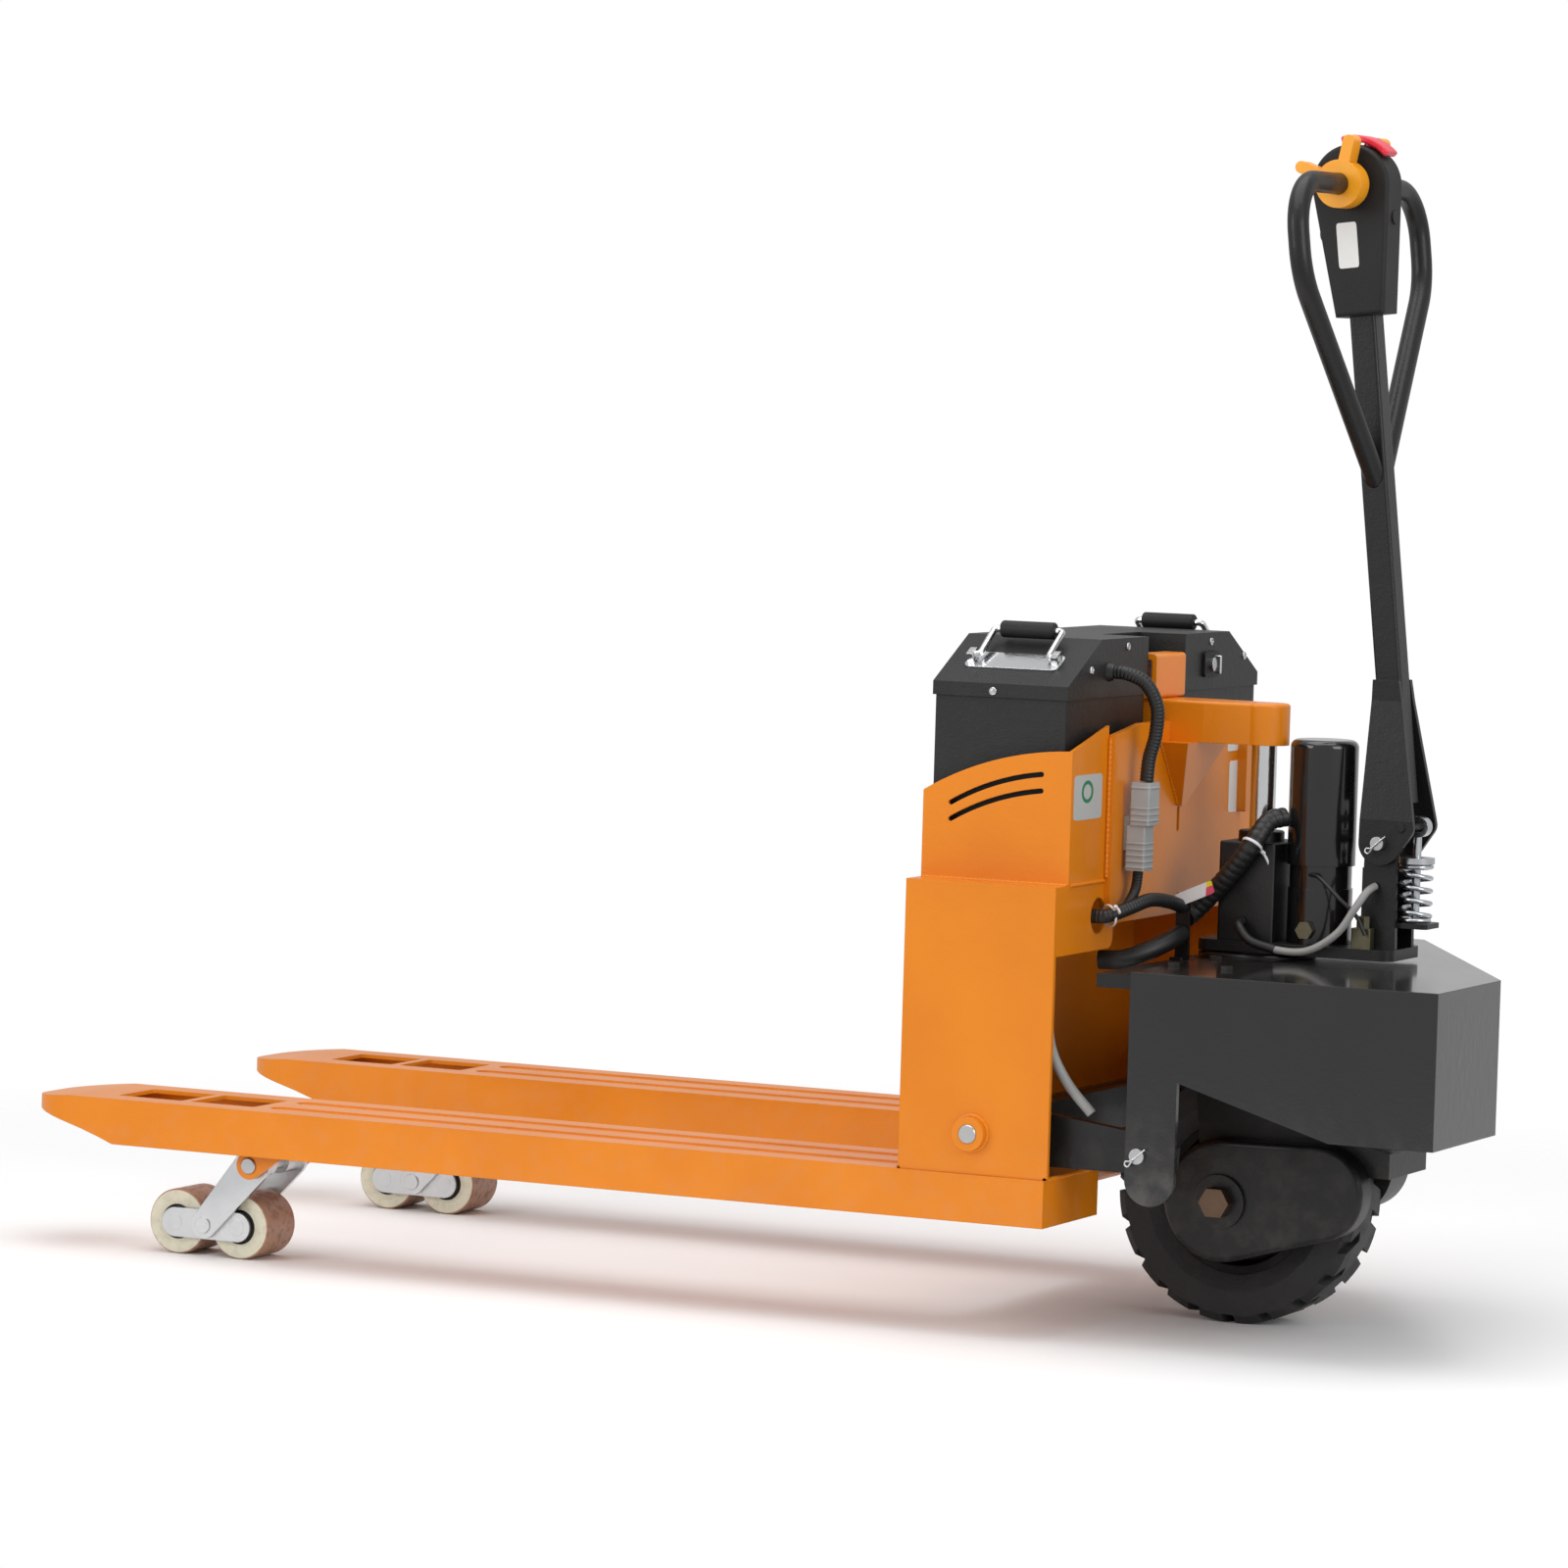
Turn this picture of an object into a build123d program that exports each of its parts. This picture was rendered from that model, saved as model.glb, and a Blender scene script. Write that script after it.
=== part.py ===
"""Pedestrian electric pallet truck, forks raised, in millimetres.

+X points from the fork tips to the tiller, +Z is up, and -Y is the operator's left when facing the
forks. The origin is on the floor, midway along and across the truck.
"""
import os
from math import asin, atan2, cos, degrees, radians, sin, sqrt, tan

from build123d import *

os.makedirs("parts", exist_ok=True)

# driving dimensions
FORK_REACH = 1377.0  # head box rear face to fork tip
BUMPER_REACH = 460.0  # head box rear face to bumper front
HEEL = (FORK_REACH - BUMPER_REACH) / 2  # x of the head box rear face
FORK_TOP = 190.0
FORK_DEPTH = 56.0
FORK_WIDTH = 160.0
FORK_Y = 262.5  # fork centre line
SHEET = 5.0
BOX_DEPTH = 188.0  # head box, front to rear
BOX_Y = 340.0  # head box half width
BOX_TOP = 526.0
AXIS_X = HEEL + 115.0  # steering axis, which is the piston axis
COVER_TOP = 435.0
COVER_Y = 325.0
WHEEL_R = 150.0
ROLLER_R = 40.0
TILLER_LEAN = 6.5  # degrees, towards the forks

TIP = HEEL - FORK_REACH
FORK_UNDER = FORK_TOP - FORK_DEPTH
SIDES = ((-1, "left"), (1, "right"))


def at_y(y):
    """Upright plane across the truck: local x is X, local y is Z, extrusion runs to -Y."""
    return Plane.XZ.offset(-y)


def write(piece, name):
    """Label a finished piece and write it."""
    piece.part.label = name
    export_step(piece.part, f"parts/{name}.step")


# ---------------------------------------------------------------- forks
LEG_X = HEEL - 1066.0  # load leg pivot
LEG_Z = 119.6
PIN_R = 10.0
NOSE = HEEL - 1247.0  # where the underside starts to rise
NOSE_DEPTH = 18.0
LUG_IN = 50.0
LUG_OUT = 57.0
LEVER_GAP = (HEEL - 150, HEEL - 40)  # fork plate opening for the push lever
SEAT_Z = FORK_TOP - 0.5  # machined seat for the head box, behind the load face

for side, name in SIDES:
    y = side * FORK_Y
    with BuildPart() as fork_core:
        with BuildSketch(at_y(y + FORK_WIDTH / 2 - SHEET)):
            with BuildLine():
                Polyline(
                    (HEEL - 9, 100), (HEEL - 9, FORK_TOP - SHEET), (TIP + 50, FORK_TOP - SHEET),
                    (TIP + 50, 166), (NOSE - 15, FORK_UNDER + 12), (NOSE - 15, 100), close=True,
                )
            make_face()
        extrude(amount=FORK_WIDTH - 2 * SHEET)
    with BuildPart() as fork:
        with BuildSketch(Plane.XY.offset(FORK_UNDER)) as plan:
            with Locations(((TIP + HEEL - 3) / 2, y)):
                Rectangle(HEEL - 3 - TIP, FORK_WIDTH)
            fillet(plan.vertices().sort_by(Axis.X)[:2], 62)
        extrude(amount=FORK_DEPTH)
        with BuildSketch(at_y(y + FORK_WIDTH / 2)):
            with BuildLine():
                Polyline(
                    (NOSE, FORK_UNDER), (HEEL, FORK_UNDER), (HEEL, FORK_TOP), (TIP + 66, FORK_TOP),
                    (TIP - 6, FORK_TOP - 6), (TIP - 6, FORK_TOP - NOSE_DEPTH),
                )
                ThreePointArc((TIP - 6, FORK_TOP - NOSE_DEPTH), (TIP + 72, 154), (NOSE, FORK_UNDER))
            make_face()
        extrude(amount=FORK_WIDTH, mode=Mode.INTERSECT)
        add(fork_core.part, mode=Mode.SUBTRACT)
        for edge in (1, -1):
            with BuildSketch(at_y(y + (LUG_OUT if edge > 0 else -LUG_IN))):
                with BuildLine():
                    Polyline(
                        (LEG_X - 24, FORK_TOP - SHEET), (LEG_X - 12, LEG_Z), (LEG_X, LEG_Z - 8),
                        (LEG_X + 9, LEG_Z - 14), (LEG_X + 40, LEG_Z + 8), (LEG_X + 40, FORK_TOP - SHEET),
                        close=True,
                    )
                make_face()
                with Locations((LEG_X, LEG_Z)):
                    Circle(17)
            extrude(amount=LUG_OUT - LUG_IN)
        with BuildSketch(at_y(y + LUG_OUT)):
            with Locations((LEG_X, LEG_Z)):
                Circle(PIN_R)
        extrude(amount=2 * LUG_OUT, mode=Mode.SUBTRACT)
        with BuildSketch(Plane.XY.offset(FORK_TOP)):
            for centre in (HEEL - 1217, HEEL - 1115):
                with Locations((centre, y)):
                    RectangleRounded(90, 84, 4)
            with Locations((sum(LEVER_GAP) / 2, y)):
                Rectangle(LEVER_GAP[1] - LEVER_GAP[0], 44)
        extrude(amount=-SHEET, mode=Mode.SUBTRACT)
        with BuildSketch(Plane.XY.offset(FORK_TOP)):
            for groove in (-32, 32):
                with Locations((HEEL - 625, y + groove)):
                    SlotOverall(850, 26)
        extrude(amount=-2, mode=Mode.SUBTRACT)
        with BuildSketch(Plane.XY.offset(SEAT_Z)):
            with Locations((HEEL - BOX_DEPTH / 2, y)):
                Rectangle(BOX_DEPTH, FORK_WIDTH)
        extrude(amount=FORK_TOP - SEAT_Z, mode=Mode.SUBTRACT)
    write(fork, f"fork_{name}")

with BuildPart() as cross_member:
    with BuildSketch(at_y(FORK_Y - FORK_WIDTH / 2)):
        with Locations((HEEL - 152, (FORK_TOP + FORK_UNDER) / 2)):
            RectangleRounded(60, FORK_DEPTH, 6)
            RectangleRounded(50, FORK_DEPTH - 10, 3, mode=Mode.SUBTRACT)
    extrude(amount=2 * FORK_Y - FORK_WIDTH)
write(cross_member, "cross_member")

# ---------------------------------------------------------------- head box
SHAFT_X = HEEL - 97.0
SHAFT_Z = 237.0
SHAFT_R = 11.0
BOX_FRONT = HEEL - BOX_DEPTH
BOSS_OUT = 350.0
REAR_Z = 446.0  # lower edge of the rear cross plates
CABLE_Y = -215.0
CABLE_Z = 486.0

with BuildPart() as head_box:
    with BuildSketch(Plane.XY.offset(SEAT_Z)):
        with Locations((HEEL - BOX_DEPTH / 2, 0)):
            Rectangle(BOX_DEPTH, 2 * BOX_Y)
        with Locations((HEEL - BOX_DEPTH / 2 + 3, 0)):
            Rectangle(BOX_DEPTH - 6, 2 * BOX_Y - 12, mode=Mode.SUBTRACT)
    extrude(amount=BOX_TOP - SEAT_Z)
    with BuildSketch(Plane.XY.offset(BOX_TOP)):
        with Locations((HEEL - BOX_DEPTH / 2, 0)):
            Rectangle(BOX_DEPTH, 2 * BOX_Y)
        with Locations((HEEL - 150, -230)):
            SlotOverall(50, 26, mode=Mode.SUBTRACT)
    extrude(amount=-6)
    with BuildSketch(Plane.YZ.offset(HEEL - 6)):
        for side, name in SIDES:
            with Locations((side * (170 + BOX_Y - 6) / 2, (REAR_Z + BOX_TOP - 6) / 2)):
                RectangleRounded(BOX_Y - 176, BOX_TOP - 6 - REAR_Z, 12)
            with Locations((side * (BOX_Y - 18), (REAR_Z + BOX_TOP - 6) / 2)):
                Rectangle(24, BOX_TOP - 6 - REAR_Z)
        with Locations((0, BOX_TOP - 14)):
            Rectangle(2 * BOX_Y - 12, 16)
        with Locations((CABLE_Y, CABLE_Z)):
            Circle(21, mode=Mode.SUBTRACT)
    extrude(amount=6)
    with BuildSketch(Plane.YZ.offset(BOX_FRONT)):
        with Locations((0, (FORK_TOP + FORK_UNDER) / 2)):
            Rectangle(2 * FORK_Y - FORK_WIDTH, FORK_DEPTH)
    extrude(amount=6)
    for side, name in SIDES:
        with BuildSketch(at_y(BOSS_OUT if side > 0 else 6 - BOX_Y)):
            with Locations((SHAFT_X, SHAFT_Z)):
                Circle(20)
        extrude(amount=BOSS_OUT - BOX_Y + 6)
    with BuildSketch(at_y(BOSS_OUT)):
        with Locations((SHAFT_X, SHAFT_Z)):
            Circle(SHAFT_R)
    extrude(amount=2 * BOSS_OUT, mode=Mode.SUBTRACT)
write(head_box, "head_box")

# ---------------------------------------------------------------- battery shroud
SHROUD_Y = 304.0
SHROUD_T = 4.0
SHROUD_FRONT = HEEL - 186.0
SIDE_LOW = 627.0  # side panel height at the front
SIDE_HIGH = 680.0  # side panel height at the rear
REAR_HIGH = 706.0
PLATE_Y = 199.0  # half width of the lift head's rear plate

with BuildPart() as battery_shroud:
    for side, name in SIDES:
        with BuildSketch(at_y(SHROUD_Y if side > 0 else SHROUD_T - SHROUD_Y)):
            with BuildLine():
                Polyline((SHROUD_FRONT, SIDE_LOW), (SHROUD_FRONT, BOX_TOP), (HEEL, BOX_TOP), (HEEL, SIDE_HIGH))
                ThreePointArc((HEEL, SIDE_HIGH), (HEEL - 88, 668), (SHROUD_FRONT, SIDE_LOW))
            make_face()
            for drop in (0, 19):
                course = Edge.make_three_point_arc(
                    (HEEL - 151, 614 - drop), (HEEL - 96, 639 - drop), (HEEL - 38, 652 - drop)
                )
                SlotArc(course, height=6, mode=Mode.SUBTRACT)
        extrude(amount=SHROUD_T)
        with BuildSketch(Plane.YZ.offset(HEEL - SHROUD_T)):
            with BuildLine():
                Polyline(
                    (side * SHROUD_Y, BOX_TOP), (side * SHROUD_Y, SIDE_HIGH), (side * PLATE_Y, REAR_HIGH),
                    (side * PLATE_Y, BOX_TOP), close=True,
                )
            make_face()
        extrude(amount=SHROUD_T)
    with BuildSketch(Plane.YZ.offset(SHROUD_FRONT)):
        with Locations((0, (SIDE_LOW + BOX_TOP) / 2)):
            Rectangle(2 * SHROUD_Y, SIDE_LOW - BOX_TOP)
    extrude(amount=SHROUD_T)
    with BuildSketch(Plane.YZ.offset(HEEL - SHROUD_T)):
        with Locations((0, BOX_TOP + 8)):
            Rectangle(2 * SHROUD_Y, 16)
    extrude(amount=SHROUD_T)
write(battery_shroud, "battery_shroud")

# ---------------------------------------------------------------- lift head
PLATE_T = 8.0
BEAM_LOW = 682.0
BEAM_TOP = 731.0
ROD_R = 15.0
ROD_TOP = 718.0
ROD_LOW = 560.0

with BuildPart() as lift_head:
    with BuildSketch(Plane.YZ.offset(HEEL)):
        with BuildLine():
            Polyline(
                (-PLATE_Y, 476), (PLATE_Y, 476), (PLATE_Y, 695), (120, REAR_HIGH), (-120, REAR_HIGH),
                (-PLATE_Y, 695), close=True,
            )
        make_face()
        with Locations((0, 588)):
            SlotOverall(30, 8, rotation=90, mode=Mode.SUBTRACT)
    extrude(amount=PLATE_T)
    with BuildSketch(Plane.XY.offset(BEAM_LOW)):
        with BuildLine():
            Polyline(
                (HEEL - 44, -34), (HEEL + 50, -34), (AXIS_X - 8, -28), (AXIS_X - 8, 28), (HEEL + 50, 34),
                (HEEL - 44, 34), close=True,
            )
        make_face()
        with Locations((AXIS_X, 0)):
            Circle(29)
    extrude(amount=BEAM_TOP - BEAM_LOW)
    fillet(lift_head.edges().filter_by(Plane.XY).group_by(Axis.Z)[-1], 4)
    with BuildSketch(Plane.XY.offset(BEAM_LOW)):
        with Locations((HEEL + PLATE_T + 18, 0)):
            Rectangle(36, 130)
    with BuildSketch(Plane.XY.offset(604)):
        with Locations((HEEL + PLATE_T + 3, 0)):
            Rectangle(6, 10)
    loft()
    with BuildSketch(at_y(45)):
        with Locations((HEEL - 23, (BEAM_TOP + 784) / 2)):
            RectangleRounded(32, 784 - BEAM_TOP, 5)
            RectangleRounded(20, 784 - BEAM_TOP - 14, 2, mode=Mode.SUBTRACT)
    extrude(amount=90)
    with BuildSketch(Plane.YZ.offset(HEEL + PLATE_T)):
        with Locations((PLATE_Y - 8, 636)):
            RectangleRounded(14, 96, 2)
    extrude(amount=12)
    with BuildSketch(Plane.XY.offset(BEAM_LOW)):
        with Locations((AXIS_X, 0)):
            Circle(ROD_R + 0.02)
    extrude(amount=ROD_TOP - BEAM_LOW, mode=Mode.SUBTRACT)
write(lift_head, "lift_head")

with BuildPart() as piston_rod:
    with BuildSketch(Plane.XY.offset(ROD_LOW)):
        with Locations((AXIS_X, 0)):
            Circle(ROD_R)
    extrude(amount=ROD_TOP - ROD_LOW)
write(piston_rod, "piston_rod")

# ---------------------------------------------------------------- battery case and lid
CASE_Y = 290.0
CASE_FRONT = HEEL - 180.0
CASE_REAR = HEEL - 16.0
CASE_T = 3.0
NOTCH_Y = 60.0
NOTCH_X = HEEL - 76.0
LID_LOW = 737.0
LID_BEND = 753.0
LID_TOP = 805.0
LID_FLAT = 196.0  # half width of the lid's flat top

with BuildPart() as battery_case:
    with BuildSketch(Plane.XY.offset(BOX_TOP)):
        with Locations(((CASE_FRONT + CASE_REAR) / 2, 0)):
            Rectangle(CASE_REAR - CASE_FRONT, 2 * CASE_Y)
        with Locations(((NOTCH_X + CASE_REAR) / 2, 0)):
            Rectangle(CASE_REAR - NOTCH_X, 2 * NOTCH_Y, mode=Mode.SUBTRACT)
    extrude(amount=750 - BOX_TOP)
    with BuildSketch(Plane.XY.offset(750)):
        with Locations(((CASE_FRONT + CASE_REAR) / 2, 0)):
            Rectangle(CASE_REAR - CASE_FRONT - 2 * CASE_T, 2 * (CASE_Y - CASE_T))
        with Locations(((NOTCH_X + CASE_REAR) / 2, 0)):
            Rectangle(CASE_REAR - NOTCH_X + 2 * CASE_T, 2 * (NOTCH_Y + CASE_T), mode=Mode.SUBTRACT)
    extrude(amount=-(750 - BOX_TOP - CASE_T), mode=Mode.SUBTRACT)
write(battery_case, "battery_case")

with BuildPart() as battery_pack:
    with BuildSketch(Plane.XY.offset(BOX_TOP + CASE_T)):
        with Locations((HEEL - 129, 0)):
            RectangleRounded(88, 540, 6)
    extrude(amount=205)
write(battery_pack, "battery_pack")

with BuildPart() as lid_core:
    with BuildSketch(Plane.YZ.offset(CASE_FRONT)):
        with BuildLine():
            Polyline(
                (-CASE_Y, 700), (-CASE_Y, LID_BEND - 1), (-LID_FLAT, LID_TOP - 3), (LID_FLAT, LID_TOP - 3),
                (CASE_Y, LID_BEND - 1), (CASE_Y, 700), close=True,
            )
        make_face()
    extrude(amount=CASE_REAR - CASE_FRONT)
    with BuildSketch(Plane.XY.offset(690)):
        with Locations(((NOTCH_X + CASE_REAR + 1) / 2, 0)):
            Rectangle(CASE_REAR - NOTCH_X + 1, 2 * NOTCH_Y)
    extrude(amount=130, mode=Mode.SUBTRACT)
with BuildPart() as battery_lid:
    with BuildSketch(Plane.YZ.offset(CASE_FRONT - 3)):
        with BuildLine():
            Polyline(
                (-CASE_Y - 3, LID_LOW), (-CASE_Y - 3, LID_BEND), (-LID_FLAT, LID_TOP), (LID_FLAT, LID_TOP),
                (CASE_Y + 3, LID_BEND), (CASE_Y + 3, LID_LOW), close=True,
            )
        make_face()
    extrude(amount=CASE_REAR - CASE_FRONT + 6)
    add(lid_core.part, mode=Mode.SUBTRACT)
    with BuildSketch(Plane.XY.offset(690)):
        with Locations(((NOTCH_X + CASE_REAR) / 2 + 4, 0)):
            Rectangle(CASE_REAR - NOTCH_X + 4, 2 * (NOTCH_Y - 3))
    extrude(amount=130, mode=Mode.SUBTRACT)
write(battery_lid, "battery_lid")

LID_REAR = CASE_REAR + 3
SLOPE = degrees(atan2(LID_TOP - LID_BEND, CASE_Y + 3 - LID_FLAT))
HANDLE_X = HEEL - 99.0
HANDLE_Y = 250.0
HANDLE_Z = LID_BEND + (CASE_Y + 3 - HANDLE_Y) * tan(radians(SLOPE))


def lid_slope(side):
    """Plane on a lid slope: local x is X, local y runs up the slope, local z is the normal."""
    up = (0, -side * cos(radians(SLOPE)), sin(radians(SLOPE)))
    out = (0, side * sin(radians(SLOPE)), cos(radians(SLOPE)))
    along = Vector(*up).cross(Vector(*out))
    return Plane(origin=(HANDLE_X, side * HANDLE_Y, HANDLE_Z), x_dir=along, z_dir=out)


BAIL_R = 4.0
BAIL_X = 46.0
BAIL_LIFT = 9.0  # bail axis above the lid
GRIP_R = 10.0
GRIP_REACH = 50.0

with BuildPart() as handle_bases:
    for side, name in SIDES:
        slope = lid_slope(side)
        with BuildSketch(slope):
            RectangleRounded(118, 34, 8)
        extrude(amount=2.5)
        for start in (-57, 49):
            with BuildSketch(Plane(origin=slope.origin, x_dir=slope.y_dir, z_dir=slope.x_dir).offset(start)):
                with Locations((0, 7)):
                    Rectangle(15, 13)
                with Locations((0, BAIL_LIFT)):
                    Circle(BAIL_R + 0.3, mode=Mode.SUBTRACT)
            extrude(amount=8)
write(handle_bases, "handle_bases")

for side, name in SIDES:
    slope = lid_slope(side)
    corner = [
        slope.from_local_coords(p)
        for p in (
            (-55, 0, BAIL_LIFT), (-BAIL_X + 3, 0, BAIL_LIFT), (-BAIL_X + 3, GRIP_REACH, BAIL_LIFT + 6),
            (BAIL_X - 3, GRIP_REACH, BAIL_LIFT + 6), (BAIL_X - 3, 0, BAIL_LIFT), (55, 0, BAIL_LIFT),
        )
    ]
    with BuildPart() as handle_bail:
        with BuildLine() as bail_path:
            FilletPolyline(*corner, radius=5)
        with BuildSketch(Plane(origin=corner[0], z_dir=slope.x_dir)):
            Circle(BAIL_R)
        sweep(path=bail_path.wires()[0])
    write(handle_bail, f"handle_bail_{name}")
    grip_plane = Plane(origin=slope.from_local_coords((-34, GRIP_REACH, BAIL_LIFT + 6)), z_dir=slope.x_dir)
    with BuildPart() as handle_grip:
        with BuildSketch(grip_plane):
            Circle(GRIP_R)
            Circle(BAIL_R + 0.05, mode=Mode.SUBTRACT)
        extrude(amount=68)
        fillet(handle_grip.edges().filter_by(GeomType.CIRCLE).group_by(SortBy.RADIUS)[-1], 3)
    write(handle_grip, f"handle_grip_{name}")

KEY_Y = 135.0
KEY_Z = 767.0
with BuildPart() as key_plate:
    with BuildSketch(Plane.YZ.offset(LID_REAR)):
        with Locations((KEY_Y, KEY_Z)):
            RectangleRounded(46, 30, 4)
            Circle(9.1, mode=Mode.SUBTRACT)
    extrude(amount=4)
write(key_plate, "key_plate")
with BuildPart() as key_barrel:
    with BuildSketch(Plane.YZ.offset(LID_REAR + 0.2)):
        with Locations((KEY_Y, KEY_Z)):
            Circle(9)
    extrude(amount=7.8)
    with BuildSketch(Plane.YZ.offset(LID_REAR + 8)):
        with Locations((KEY_Y, KEY_Z)):
            RectangleRounded(5, 22, 2)
    extrude(amount=7)
write(key_barrel, "key_barrel")

# ---------------------------------------------------------------- rocker and push rods
LEG_PIN_X = HEEL + 105.0  # pin between rocker and drive frame leg
LEG_PIN_Z = 225.0
LEG_PIN_R = 9.0
ARM_Y = 307.0  # outer face of the rocker arms
ARM_T = 15.0
ARM_REACH = sqrt((LEG_PIN_X - SHAFT_X) ** 2 + (SHAFT_Z - LEG_PIN_Z) ** 2)
ARM_STRETCH = 17.0  # the slot lets the pin rise straight up
LEVER = 75.0
LEVER_X = SHAFT_X - 10.0
LEVER_Z = SHAFT_Z - LEVER
ROD_PIN_R = 8.0
TUBE_R = 24.0
ARM_PLANE_TURN = -degrees(asin((SHAFT_Z - LEG_PIN_Z) / ARM_REACH))

with BuildPart() as rocker:
    for side, name in SIDES:
        arm_face = Plane(
            origin=(SHAFT_X, ARM_Y if side > 0 else ARM_T - ARM_Y, SHAFT_Z), x_dir=(1, 0, 0), z_dir=(0, -1, 0)
        ).rotated((0, -ARM_PLANE_TURN, 0))
        with BuildSketch(arm_face):
            with BuildLine():
                Polyline(
                    (0, -30), (60, -32), (ARM_REACH - 20, -24), (ARM_REACH + 20, -24), (ARM_REACH + 38, -12),
                    (ARM_REACH + 38, 12), (ARM_REACH + 20, 24), (ARM_REACH - 20, 24), (60, 32), (0, 30),
                    close=True,
                )
            make_face()
            Circle(30)
            with Locations((ARM_REACH + ARM_STRETCH / 2, 0)):
                SlotOverall(ARM_STRETCH + 2 * LEG_PIN_R + 6, 2 * LEG_PIN_R + 6, mode=Mode.SUBTRACT)
        extrude(amount=ARM_T)
        with BuildSketch(at_y(side * FORK_Y + 8)):
            with BuildLine():
                Polyline(
                    (SHAFT_X - 26, SHAFT_Z), (LEVER_X - 17, LEVER_Z), (LEVER_X + 17, LEVER_Z), (SHAFT_X + 26, SHAFT_Z),
                    close=True,
                )
            make_face()
            with Locations((LEVER_X, LEVER_Z)):
                Circle(17)
        extrude(amount=16)
    with BuildSketch(at_y(ARM_Y)):
        with Locations((SHAFT_X, SHAFT_Z)):
            Circle(TUBE_R)
    extrude(amount=2 * ARM_Y)
    with BuildSketch(at_y(ARM_Y - ARM_T)):
        with Locations((SHAFT_X + 28, SHAFT_Z)):
            Rectangle(14, 50)
    extrude(amount=2 * (ARM_Y - ARM_T))
    with BuildSketch(at_y(BOSS_OUT)):
        with Locations((SHAFT_X, SHAFT_Z)):
            Circle(SHAFT_R + 0.05)
    extrude(amount=2 * BOSS_OUT, mode=Mode.SUBTRACT)
    for side, name in SIDES:
        with BuildSketch(at_y(side * FORK_Y + 17)):
            with Locations((LEVER_X, LEVER_Z)):
                Circle(ROD_PIN_R)
        extrude(amount=34)
write(rocker, "rocker")

with BuildPart() as pivot_pins:
    with BuildSketch(at_y(BOSS_OUT + 2)):
        with Locations((SHAFT_X, SHAFT_Z)):
            Circle(SHAFT_R - 0.02)
    extrude(amount=2 * BOSS_OUT + 4)
    for side, name in SIDES:
        with BuildSketch(at_y(side * FORK_Y + LUG_OUT + 3)):
            with Locations((LEG_X, LEG_Z)):
                Circle(PIN_R - 0.02)
        extrude(amount=2 * LUG_OUT + 6)
    chamfer(pivot_pins.edges().filter_by(GeomType.CIRCLE), 1.2)
write(pivot_pins, "pivot_pins")

ROD_FRONT_X = LEG_X - 16.5
ROD_FRONT_Z = LEG_Z + 30.0

with BuildPart() as push_rods:
    for side, name in SIDES:
        y = side * FORK_Y
        with BuildSketch(at_y(y + 10)):
            with BuildLine():
                Polyline(
                    (ROD_FRONT_X, ROD_FRONT_Z - 10), (LEVER_X - 50, LEVER_Z - 10), (LEVER_X - 50, LEVER_Z + 10),
                    (ROD_FRONT_X, ROD_FRONT_Z + 10), close=True,
                )
            make_face()
            with Locations((ROD_FRONT_X, ROD_FRONT_Z)):
                Circle(19)
                Circle(ROD_PIN_R + 5, mode=Mode.SUBTRACT)
        extrude(amount=20)
        for inner in (9, -14):
            with BuildSketch(at_y(y + inner + 5)):
                with Locations((LEVER_X - 26, LEVER_Z)):
                    Rectangle(76, 32)
                with Locations((LEVER_X, LEVER_Z)):
                    Circle(19)
                    Circle(ROD_PIN_R + 4, mode=Mode.SUBTRACT)
            extrude(amount=5)
        with BuildSketch(at_y(y + 14)):
            with Locations((LEVER_X - 52, LEVER_Z)):
                Rectangle(16, 32)
        extrude(amount=28)
write(push_rods, "push_rods")

# ---------------------------------------------------------------- load legs, bogies and rollers
BOGIE_X = LEG_X - 68.4
BOGIE_Z = ROLLER_R
AXLE_GAP = 87.8
CHEEK_IN = 41.5
CHEEK_OUT = 47.5
LINK_IN = 35.0
LINK_OUT = 41.0
ROLLER_HALF = 34.0

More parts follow.
